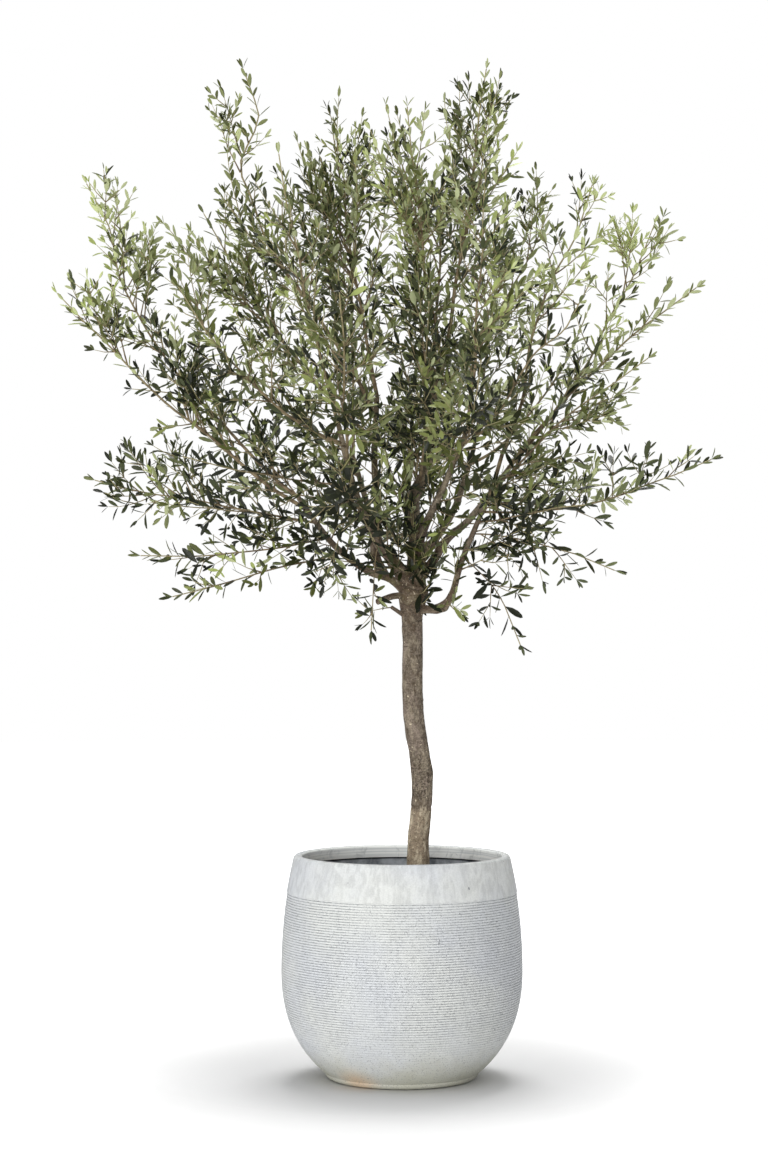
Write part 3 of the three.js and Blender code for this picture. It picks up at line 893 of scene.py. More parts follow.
@dataclass(frozen=True)
class Planter:
    """The round planter: a rounded body, a plain rim band, a thick rim and a dark inner wall."""

    height: float = 0.535
    belly_radius: float = 0.290
    belly_height: float = 0.255
    foot_radius: float = 0.180
    rim_radius: float = 0.259
    rim_wall: float = 0.019
    rim_rounding: float = 0.006
    body_wall: float = 0.016
    floor_thickness: float = 0.022
    band_depth: float = 0.088
    band_step: float = 0.0015
    band_lip: float = 0.0008
    rim_coat_depth: float = 0.030
    foot_rise: float = 0.014
    foot_inset: float = 0.018
    foot_tuck: float = 0.015
    tuck_height: float = 0.17
    comb_pitch: float = 0.006
    comb_depth: float = 0.0008
    comb_foot: float = 0.038
    comb_unevenness: float = 0.5
    comb_patches: float = 55.0
    ellipse_reach: float = 0.035
    rings_per_groove: int = 4
    rounding_rings: int = 7
    band_rings: int = 24
    wall_ring_count: int = 24
    coat_rings: int = 8
    coat_edge: tuple[Pair, ...] = ((0.0, 0.003), (0.001, 0.0005), (0.003, 0.0))
    sides: int = 160

    @property
    def band_foot(self) -> float:
        """The height of the band's lower edge."""
        return self.height - self.band_depth

    @property
    def coat_foot(self) -> float:
        """The height of the lower edge of the coat inside the rim."""
        return self.height - self.rim_coat_depth

    def radius(self, up: float) -> float:
        """Finds the outer radius: part of an ellipse below the belly, a gentle curve above it.

        Args:
            up: The height.

        Returns:
            The radius there.
        """
        if up > self.belly_height:
            share = (up - self.belly_height) / (self.height - self.belly_height)
            return self.belly_radius - (self.belly_radius - self.rim_radius) * share**2
        ellipse_height = self.belly_height + self.ellipse_reach
        cut = math.sqrt(1 - (self.belly_height / ellipse_height) ** 2)
        ellipse_radius = (self.belly_radius - self.foot_radius) / (1 - cut)
        drop = (self.belly_height - up) / ellipse_height
        tuck = self.foot_tuck * max(0.0, 1 - up / self.tuck_height) ** 2
        return self.belly_radius - ellipse_radius * (1 - math.sqrt(1 - drop**2)) - tuck

    def inner_radius(self, up: float) -> float:
        """Returns the radius of the inner wall."""
        return self.radius(up) - self.body_wall

    def outer_rings(self) -> list[Pair]:
        """Lists the rings of the combed body, from the foot to the band.

        Returns:
            The radius and height of each ring.
        """
        edge = self.radius(self.foot_rise) - self.foot_inset
        angles = np.linspace(0.0, QUARTER_TURN, self.rounding_rings)[:-1]
        rounding = [
            (edge + self.foot_inset * math.sin(a), self.foot_rise * (1 - math.cos(a))) for a in angles
        ]
        steps = round((self.band_foot - self.foot_rise) / self.comb_pitch) * self.rings_per_groove
        heights = np.linspace(self.foot_rise, self.band_foot, steps + 1)
        return rounding + [(self.radius(up), up) for up in heights]

    def rim_rings(self) -> list[Pair]:
        """Lists the rings of the band, the rim and the coat inside it.

        Returns:
            The radius and height of each ring.
        """
        round_top = self.height - self.rim_rounding
        band = [
            (self.radius(up) + self.band_step * (1 - share), up)
            for share in np.linspace(0, 1, self.band_rings)
            for up in [mix(self.band_foot + self.band_lip, round_top, share)]
        ]
        inner = self.rim_radius - self.rim_wall
        outer_arc = self.arc(self.rim_radius - self.rim_rounding, 0.0, QUARTER_TURN)
        inner_arc = self.arc(inner + self.rim_rounding, QUARTER_TURN, 2 * QUARTER_TURN)
        coat = [(inner + out, self.coat_foot + up) for out, up in self.coat_edge]
        return band + outer_arc + inner_arc + coat

    def wall_rings(self) -> list[Pair]:
        """Lists the rings of the inner wall, from the coat down to the floor.

        Returns:
            The radius and height of each ring.
        """
        heights = np.linspace(self.coat_foot, self.floor_thickness, self.wall_ring_count)
        return [(self.inner_radius(up), up) for up in heights]

    def arc(self, middle: float, start: float, end: float) -> list[Pair]:
        """Rounds an edge of the rim.

        Args:
            middle: The radius of the rounding's own middle.
            start: The angle that it starts at, in radians above level.
            end: The angle that it ends at.

        Returns:
            The radius and height of each ring.
        """
        size = self.rim_rounding
        base = self.height - size
        angles = np.linspace(start, end, self.rounding_rings)
        return [(middle + size * math.cos(a), base + size * math.sin(a)) for a in angles]

    def comb(self, vertices: Array) -> Array:
        """Presses the combed grooves into the body, deeper in some places than in others.

        Args:
            vertices: The vertices of the plain body.

        Returns:
            The vertices with the grooves.
        """
        up = vertices[:, 2]
        groove = (0.5 + 0.5 * np.cos(2 * math.pi * up / self.comb_pitch)) ** 2
        combed = smooth(self.comb_foot, self.comb_foot + 0.1, up)
        combed = combed * (up < self.band_foot - 0.001)
        patches = np.array([noise.noise(Vector(vertex) * self.comb_patches) for vertex in vertices])
        uneven = 0.75 + self.comb_unevenness * patches
        outward = unit(vertices * [1, 1, 0])
        return vertices - outward * (self.comb_depth * groove * combed * uneven)[:, None]

    def build(self) -> None:
        """Turns the planter and dresses it."""
        outer = self.outer_rings()
        coated = outer + self.rim_rings()
        rings = np.array(coated + self.wall_rings())
        spokes = ring_spokes(self.sides)
        vertices = (spokes[None] * rings[:, None, :1] + UP * rings[:, None, 1:]).reshape(-1, 3)
        body = len(outer) * self.sides
        vertices[:body] = self.comb(vertices[:body])
        vertices = np.vstack([vertices, [0, 0, 0], [0, 0, self.floor_thickness]])
        faces = ring_faces(len(rings), self.sides)
        under = (faces == len(rings) * self.sides).any(axis=1)
        wall = (faces >= len(coated) * self.sides).any(axis=1) & ~under
        inside = faces.min(axis=1) >= (len(coated) - self.coat_rings) * self.sides
        form = Form(vertices, faces, np.where(wall, 1, np.where(inside, 2, 0)))
        finishes = [
            FibreClay(self.comb_pitch, self.comb_foot, self.band_foot).make(),
            InnerCoat(self.coat_foot).make(),
            RimCoat().make(),
        ]
        mesh = form.mesh("planter")
        mesh.set_sharp_from_angle(angle=math.radians(40))
        place_piece("planter", mesh, finishes, ["pot"])


@dataclass(frozen=True)
class Compost:
    """The compost's crumbly surface, and the bed that it lies on."""

    planter: Planter
    top: float = 0.460
    clearance: float = 0.0026
    depth: float = 0.06
    rings: int = 46
    sides: int = 120
    crumbs: int = 420
    smallest: float = 0.003
    largest: float = 0.009
    sunk: float = 0.003
    lump_height: float = 0.004
    lump_patches: float = 38.0
    roughness: float = 0.4
    crumb_patches: float = 1.7
    squash: tuple[Pair, ...] = ((0.6, 1.3), (0.6, 1.3), (0.35, 0.8))

    def bed(self) -> Form:
        """Heaps the bed: a closed disc with an uneven top.

        Returns:
            The form.
        """
        radius = self.planter.inner_radius(self.top) - self.clearance
        shares = np.concatenate([np.linspace(0.02, 1.0, self.rings), [1.0]])
        heights = np.concatenate([np.full(self.rings, self.top), [self.top - self.depth]])
        spokes = ring_spokes(self.sides)[None]
        flat = (spokes * (radius * shares)[:, None, None] + UP * heights[:, None, None]).reshape(-1, 3)
        patches = flat * self.lump_patches
        lumps = np.array([noise.fractal(Vector(vertex), 0.9, 2.1, 5) for vertex in patches])
        flat[:, 2] += self.lump_height * (lumps - 1)
        ends = [[0, 0, self.top - self.lump_height], [0, 0, self.top - self.depth]]
        faces = ring_faces(self.rings + 1, self.sides)[:, [0, 2, 1]]
        return Form.plain(np.vstack([flat, ends]), faces)

    def crumb_forms(self) -> list[Form]:
        """Scatters crumbs and chips over the bed.

        Returns:
            A form for each crumb.
        """
        ball = bmesh.new()
        bmesh.ops.create_icosphere(ball, subdivisions=2, radius=1.0)
        points = np.array([vertex.co[:] for vertex in ball.verts])
        faces = np.array([[vertex.index for vertex in face.verts] for face in ball.faces])
        ball.free()
        reach = self.planter.inner_radius(self.top) - self.clearance - self.largest
        forms = []
        for index in range(self.crumbs):
            dice = Dice(CRUMB_SEED + index)
            away, angle = reach * math.sqrt(dice.next()), dice.between(0, 2 * math.pi)
            size = mix(self.smallest, self.largest, dice.next() ** 2)
            squash = np.array([dice.between(*span) for span in self.squash])
            turn = dice.between(0, math.pi)
            own = Vector((index, 0, 0))
            bumps = np.array([noise.noise(Vector(point) * self.crumb_patches + own) for point in points])
            shape = points * (1 + self.roughness * bumps)[:, None] * squash * size
            turned = np.stack([
                shape[:, 0] * math.cos(turn) - shape[:, 1] * math.sin(turn),
                shape[:, 0] * math.sin(turn) + shape[:, 1] * math.cos(turn),
                shape[:, 2],
            ], -1)
            place = np.array([away * math.cos(angle), away * math.sin(angle), self.top - self.sunk])
            forms.append(Form.plain(turned + place, faces))
        return forms

    def build(self) -> None:
        """Makes the compost and dresses it."""
        form = Form.joined([self.bed(), *self.crumb_forms()])
        place_piece("compost", form.mesh("compost"), [Peat().make()], ["soil"])


# Limbs

@dataclass(frozen=True)
class Bough:
    """A bough or stub: the limb that carries it, its thickness at its ends, and its course."""

    name: str
    on: str
    place: float
    foot: float
    end: float
    course: list[Point]


@dataclass(frozen=True)
class Limb:
    """A limb as it grows: its middle line and its radius along it."""

    line: Line
    radius: Callable[[Array], Array]


@dataclass(frozen=True)
class Knot:
    """A swelling or hollow in the bark, with its place, its reach and its height."""

    place: Point
    reach: float
    height: float


TRUNK_COURSE: list[Point] = [
    (0.039, 0.004, 0.4603),
    (0.039, 0.002, 0.56),
    (0.046, -0.002, 0.64),
    (0.0485, -0.004, 0.705),
    (0.043, -0.002, 0.77),
    (0.03, 0.002, 0.85),
    (0.0255, 0.004, 0.93),
    (0.026, 0.002, 1.04),
    (0.025, 0.0, 1.14),
    (0.034, 0.0, 1.2),
]

BOUGHS = [
    Bough("leader", "trunk", 0.97, 0.04, 0.018,
          [(0.036, 0.002, 1.275), (0.026, 0.003, 1.385), (0.058, 0.005, 1.455), (0.067, 0.008, 1.6),
           (0.108, 0.01, 1.76)]),
    Bough("left_low", "trunk", 0.93, 0.02, 0.012,
          [(-0.026, -0.01, 1.196), (-0.078, -0.02, 1.214), (-0.16, -0.032, 1.275),
           (-0.248, -0.045, 1.392)]),
    Bough("left_rise", "left_low", 0.24, 0.021, 0.013,
          [(-0.066, 0.006, 1.262), (-0.058, 0.022, 1.33), (-0.066, 0.05, 1.48), (-0.06, 0.07, 1.64)]),
    Bough("front_left", "trunk", 0.97, 0.026, 0.012,
          [(-0.014, -0.046, 1.234), (-0.05, -0.09, 1.27), (-0.11, -0.15, 1.4), (-0.15, -0.19, 1.56)]),
    Bough("right", "trunk", 0.985, 0.023, 0.012,
          [(0.068, -0.012, 1.23), (0.108, -0.02, 1.292), (0.16, -0.03, 1.338), (0.262, -0.04, 1.47)]),
    Bough("right_low", "trunk", 0.9, 0.018, 0.011,
          [(0.084, -0.02, 1.126), (0.113, -0.03, 1.148), (0.142, -0.052, 1.238), (0.205, -0.12, 1.395)]),
    Bough("front_right", "leader", 0.16, 0.02, 0.011,
          [(0.058, -0.05, 1.33), (0.1, -0.15, 1.42), (0.15, -0.25, 1.545)]),
    Bough("back_left", "trunk", 0.95, 0.022, 0.012,
          [(-0.002, 0.06, 1.2), (-0.05, 0.14, 1.28), (-0.12, 0.24, 1.5)]),
    Bough("back_right", "leader", 0.1, 0.022, 0.012,
          [(0.078, 0.06, 1.29), (0.13, 0.15, 1.37), (0.18, 0.24, 1.52)]),
    Bough("back_low", "trunk", 0.91, 0.018, 0.011,
          [(0.036, 0.07, 1.168), (0.034, 0.17, 1.22), (0.035, 0.28, 1.36)]),
]

STUBS = [
    Bough("stub_long", "trunk", 0.94, 0.017, 0.015,
          [(-0.02, -0.034, 1.156), (-0.06, -0.062, 1.142)]),
    Bough("stub_short", "trunk", 0.86, 0.013, 0.009,
          [(-0.008, -0.016, 1.118), (-0.026, -0.024, 1.13)]),
]

KNOTS = [
    Knot((0.074, -0.004, 0.733), 0.022, 0.0035),
    Knot((0.054, -0.004, 0.907), 0.005, 0.004),
    Knot((0.084, -0.02, 1.124), 0.011, 0.005),
    Knot((0.102, -0.028, 1.128), 0.012, 0.007),
    Knot((0.120, -0.034, 1.152), 0.009, 0.005),
    Knot((0.02, -0.026, 1.165), 0.016, 0.004),
    Knot((0.05, -0.024, 1.185), 0.014, 0.004),
    Knot((-0.064, 0.0, 1.245), 0.01, 0.004),
]


@dataclass
class Woodwork:
    """The trunk, the boughs and the pruned stubs, as one skin of bark."""

    trunk_radius: float = 0.0255
    trunk_taper: float = 0.001
    flare_radius: float = 0.011
    flare_height: float = 0.034
    flare_lobes: int = 5
    flare_lobe_share: float = 0.12
    head_swelling: float = 0.011
    head_length: float = 0.110
    head_dome: float = 0.030
    head_dome_share: float = 0.4
    collar_share: float = 0.22
    collar_fade: float = 9.0
    sunk: float = 0.004
    voxel: float = 0.0024
    ring_step: float = 0.005
    sides: int = 24
    lobe_turn: float = 0.6
    scar_height: float = 0.650
    scar_depth: float = 0.0012
    scar_width: float = 0.0035
    scarred_radius: float = 0.02
    coarseness: Pair = (0.25, 1.1)
    lump_height: float = 0.0011
    split_depth: float = 0.0006
    split_edge: float = 0.11
    split_scale: Point = (120.0, 120.0, 52.0)
    lump_scale: Point = (42.0, 42.0, 20.0)
    grain_step: float = 0.004
    grain_apart: float = 1.7
    limbs: dict[str, Limb] = field(default_factory=dict)

    def __post_init__(self) -> None:
        """Grows the trunk first, and then each bough and stub from its carrier."""
        self.limbs["trunk"] = Limb(course_line(TRUNK_COURSE), self.trunk_thickness)
        for bough in BOUGHS + STUBS:
            carrier = self.limbs[bough.on].line
            line = course_line([carrier.at(bough.place), *bough.course])
            self.limbs[bough.name] = Limb(line, self.bough_thickness(bough))

    def trunk_thickness(self, share: Array) -> Array:
        """Finds the trunk's radius, with its root flare and its swollen, domed head.

        Args:
            share: Shares of the way from the compost to the fork.

        Returns:
            The radius at each share.
        """
        rise = TRUNK_COURSE[-1][2] - TRUNK_COURSE[0][2]
        up, left = share * rise, (1 - share) * rise
        swelling = self.head_swelling * smooth(-self.head_length, -self.head_dome, -left)
        flare = self.flare_radius * np.exp(-up / self.flare_height)
        dome = 1 - self.head_dome_share * smooth(-self.head_dome, 0.0, -left)
        return (self.trunk_radius - self.trunk_taper * share + flare + swelling) * dome

    def bough_thickness(self, bough: Bough) -> Callable[[Array], Array]:
        """Finds a bough's radius, with a collar where it grows out of its carrier.

        Args:
            bough: The bough.

        Returns:
            A function from shares of the bough's length to its radius.
        """
        def radius(share: Array) -> Array:
            """Returns the radius at each share."""
            collar = self.collar_share * bough.foot * np.exp(-share * self.collar_fade)
            return mix(bough.foot, bough.end, share) / 2 + collar
        return radius

    def limb_form(self, name: str, limb: Limb) -> Form:
        """Sweeps one limb.

        Args:
            name: The limb's name.
            limb: The limb.

        Returns:
            The form, closed at both ends.
        """
        rings = max(round(limb.line.length / self.ring_step), 6)
        shares = np.linspace(0.0, 1.0, rings + 1)
        points = limb.line.at(shares)
        radii = np.repeat(limb.radius(shares)[:, None], self.sides, axis=1)
        if name != "trunk":
            return tube(points, radii, self.sides)
        rise = points[:, 2:] - points[0, 2]
        lobes = self.flare_lobe_share * np.exp(-rise / self.flare_height)
        turns = self.lobe_turn - self.flare_lobes * corner_angles(self.sides)
        radii = radii * (1 + lobes * np.cos(turns))
        points[0, 2] -= self.sunk
        return tube(points, radii, self.sides, np.array([1.0, 0.0, 0.0]))

    def fused(self) -> bpy.types.Mesh:
        """Fuses the limbs into one even skin.

        Returns:
            The mesh.
        """
        raw = Form.joined([self.limb_form(name, limb) for name, limb in self.limbs.items()])
        block = add_object("limbs_raw", raw.mesh("limbs_raw"))
        skin = block.modifiers.new("skin", "REMESH")
        skin.mode = "VOXEL"
        skin.voxel_size = self.voxel
        graph = bpy.context.evaluated_depsgraph_get()
        mesh = bpy.data.meshes.new_from_object(block.evaluated_get(graph))
        raw_mesh = block.data
        bpy.data.objects.remove(block)
        bpy.data.meshes.remove(raw_mesh)
        return mesh

    def splits(self, grain: Array) -> Array:
        """Returns how deep each vertex lies in a split between plates of bark, from 0 to 1."""
        pattern = np.array([noise.noise(Vector(point)) for point in grain * self.split_scale])
        return smooth(self.split_edge, 0.0, np.abs(pattern))

    def relief(self, grain: Array, places: Array, radius: Array,
               split: Array) -> Array:
        """Works out how far the bark stands out or is sunk in.

        Args:
            grain: Each vertex's place across and along its limb.
            places: Each vertex's place on the tree.
            radius: The limb's radius at each vertex.
            split: How deep each vertex lies in a split.

        Returns:
            The height of the relief at each vertex.
        """
        coarse = np.clip(radius / self.trunk_radius, *self.coarseness)
        patches = grain * self.lump_scale
        lumps = np.array([noise.fractal(Vector(point), 0.8, 2.0, 3) for point in patches])
        height = coarse * (self.lump_height * lumps - self.split_depth * split)
        scar = np.exp(-(((places[:, 2] - self.scar_height) / self.scar_width) ** 2))
        height -= self.scar_depth * scar * (radius > self.scarred_radius)
        for knot in KNOTS:
            away = np.linalg.norm(places - np.array(knot.place), axis=1)
            height += knot.height * np.exp(-((away / knot.reach) ** 2))
        return height

    def build(self) -> None:
        """Makes the bark with its relief and dresses it."""
        mesh = self.fused()
        places = np.empty(len(mesh.vertices) * 3)
        mesh.vertices.foreach_get("co", places)
        places = places.reshape(-1, 3)
        grain, radius = self.grain(places)
        split = self.splits(grain)
        height = self.relief(grain, places, radius, split)
        normals = np.empty(len(mesh.vertices) * 3)
        mesh.vertices.foreach_get("normal", normals)
        mesh.vertices.foreach_set("co", (places + normals.reshape(-1, 3) * height[:, None]).ravel())
        mesh.attributes.new("grain", "FLOAT_VECTOR", "POINT").data.foreach_set("vector", grain.ravel())
        mesh.attributes.new("split", "FLOAT", "POINT").data.foreach_set("value", split)
        mesh.update()
        mesh.shade_smooth()
        nodes = ["trunk", *(f"bough_{bough.name}" for bough in BOUGHS), *(stub.name for stub in STUBS)]
        place_piece("bark", mesh, [OliveBark().make()], nodes)

    def grain(self, places: Array) -> tuple[Array, Array]:
        """Finds where each place lies along and round the limb nearest to it.

        Args:
            places: The places on the bark.

        Returns:
            The grain, as across, face and along in metres, and the limb's radius there.
        """
        rows = []
        for number, limb in enumerate(self.limbs.values()):
            steps = max(round(limb.line.length / self.grain_step), 4)
            shares = np.linspace(0.0, 1.0, steps + 1)
            points = limb.line.at(shares)
            ways = unit(np.gradient(points, axis=0))
            across = square_to(ways[0])
            for share, point, way, size in zip(shares, points, ways, limb.radius(shares)):
                across = unit(across - way * (across @ way))
                along = share * limb.line.length + number * self.grain_apart
                rows.append((point, across, np.cross(way, across), way, along, size))
        tree = point_tree([row[0] for row in rows])
        grain, radius = np.empty_like(places), np.empty(len(places))
        for index, place in enumerate(places):
            point, across, face, way, along, size = rows[tree.find(place)[1]]
            offset = place - point
            grain[index] = offset @ across, offset @ face, offset @ way + along
            radius[index] = size
        return grain, radius


# Crown

@dataclass(frozen=True)
class Mass:
    """A mass of foliage: its carrier, its furthest tip, its stem's hang, its longest twig.

    Its fullness is how many finer twigs it has, and its sway is how far its stem bends to the right.
    """

    name: str
    on: str
    place: float
    tip: Point
    hang: float
    spread: float
    fullness: float = 1.0
    sway: float = 0.0


MASSES = [
    Mass("top_spire", "leader", 1, (0.205, 0.0, 2.452), 0.03, 0.19),
    Mass("top_front", "leader", 0.92, (0.01, -0.17, 2.33), 0.05, 0.19),
    Mass("top_right", "leader", 0.82, (0.372, 0.2, 2.13), 0.08, 0.19, 0.6),
    Mass("top_back", "leader", 0.74, (0.11, 0.27, 2.3), 0.05, 0.19),
    Mass("left_spike", "left_rise", 0.88, (-0.389, 0.03, 2.452), 0.05, 0.17, 0.25, -0.085),
    Mass("upper_left_back", "left_rise", 1, (-0.175, 0.21, 2.34), 0.04, 0.19),
    Mass("left_shoulder", "left_rise", 0.76, (-0.5, 0.19, 2.12), 0.07, 0.18, 0.75),
    Mass("far_left_top", "left_low", 1, (-0.765, -0.02, 2.17), 0.1, 0.17, 0.75, -0.03),
    Mass("far_left", "left_low", 0.9, (-0.83, -0.13, 1.89), 0.04, 0.17, 0.15),
    Mass("left_side", "left_low", 0.8, (-0.77, 0.11, 1.44), 0, 0.19, 0.6),
    Mass("left_under", "left_low", 0.68, (-0.65, -0.09, 1.25), 0.02, 0.15, 0.2),
    Mass("left_sprig", "left_low", 0.55, (-0.56, -0.23, 1.15), 0.0, 0.11, 0.25),
    Mass("front_left_high", "front_left", 0.99, (-0.29, -0.3, 2.2), 0.06, 0.19, 0.8),
    Mass("front_left_far", "front_left", 0.9, (-0.52, -0.42, 1.88), 0.1, 0.19, 0.6),
    Mass("front_high", "front_left", 0.8, (-0.14, -0.64, 1.9), 0.1, 0.19),
    Mass("front_left_side", "front_left", 0.68, (-0.52, -0.43, 1.48), 0.02, 0.19, 0.3),
    Mass("front_under", "front_left", 0.55, (-0.15, -0.6, 1.4), 0, 0.16),
    Mass("middle_sprig", "front_left", 0.35, (-0.072, -0.19, 1.05), -0.14, 0.07),
    Mass("right_high", "right", 0.76, (0.455, -0.08, 2.154), 0.04, 0.17, 0.25, -0.03),
    Mass("far_right_top", "right", 1, (0.625, 0.09, 2.085), 0.08, 0.15, 0.25),
    Mass("far_right", "right", 0.88, (0.735, 0.0, 1.914), -0.05, 0.16, 0.15),
    Mass("right_side", "right_low", 1, (0.595, -0.19, 1.73), -0.03, 0.16, 0.15),
    Mass("right_reach", "right_low", 0.88, (0.768, -0.01, 1.494), 0.05, 0.13, 0.35),
    Mass("right_under", "right_low", 0.72, (0.525, -0.14, 1.2), -0.05, 0.14, 0.2),
    Mass("right_sprig", "right_low", 0.55, (0.285, -0.19, 1.018), -0.08, 0.11, 0.6),
    Mass("front_right_under", "right_low", 0.8, (0.43, -0.45, 1.37), 0, 0.17, 0.2),
    Mass("front_right_high", "front_right", 0.88, (0.43, -0.46, 1.88), 0.1, 0.19, 0.1, -0.04),
    Mass("front_reach", "front_right", 0.76, (0.17, -0.68, 1.69), 0.08, 0.19),
    Mass("front_top", "front_right", 1, (0.19, -0.4, 2.17), 0.08, 0.19),
    Mass("back_left_high", "back_left", 0.88, (-0.45, 0.47, 1.95), 0.1, 0.19, 0.4),
    Mass("back_top_left", "back_left", 1, (-0.12, 0.52, 2.18), 0.08, 0.19),
    Mass("back_left_side", "back_left", 0.74, (-0.47, 0.52, 1.45), 0.02, 0.18, 0.35),
    Mass("back_right_high", "back_right", 0.88, (0.49, 0.46, 1.9), 0.1, 0.19, 0.25),
    Mass("back_top_right", "back_right", 1, (0.27, 0.43, 2.19), 0.08, 0.19),
    Mass("back_right_side", "back_right", 0.74, (0.5, 0.5, 1.45), 0.02, 0.18, 0.7),
    Mass("core_front", "leader", 0.42, (0.06, -0.35, 1.85), 0.06, 0.19),
    Mass("core_back", "leader", 0.64, (-0.03, 0.33, 1.9), 0.06, 0.19),
    Mass("back_reach", "back_low", 1, (0.06, 0.73, 1.76), 0.1, 0.19),
    Mass("back_under", "back_low", 0.82, (-0.06, 0.64, 1.31), 0, 0.16),
]


@dataclass(frozen=True)
class Shoot:
    """A long leafy shoot: its seed, its place on what bears it, its tip in millimetres and its hang."""

    seed: int
    place: float
    right: int
    back: int
    up: int
    hang: float = 0.06

    @property
    def tip(self) -> Array:
        """The tip, in metres."""
        return np.array([self.right, self.back, self.up]) / 1000


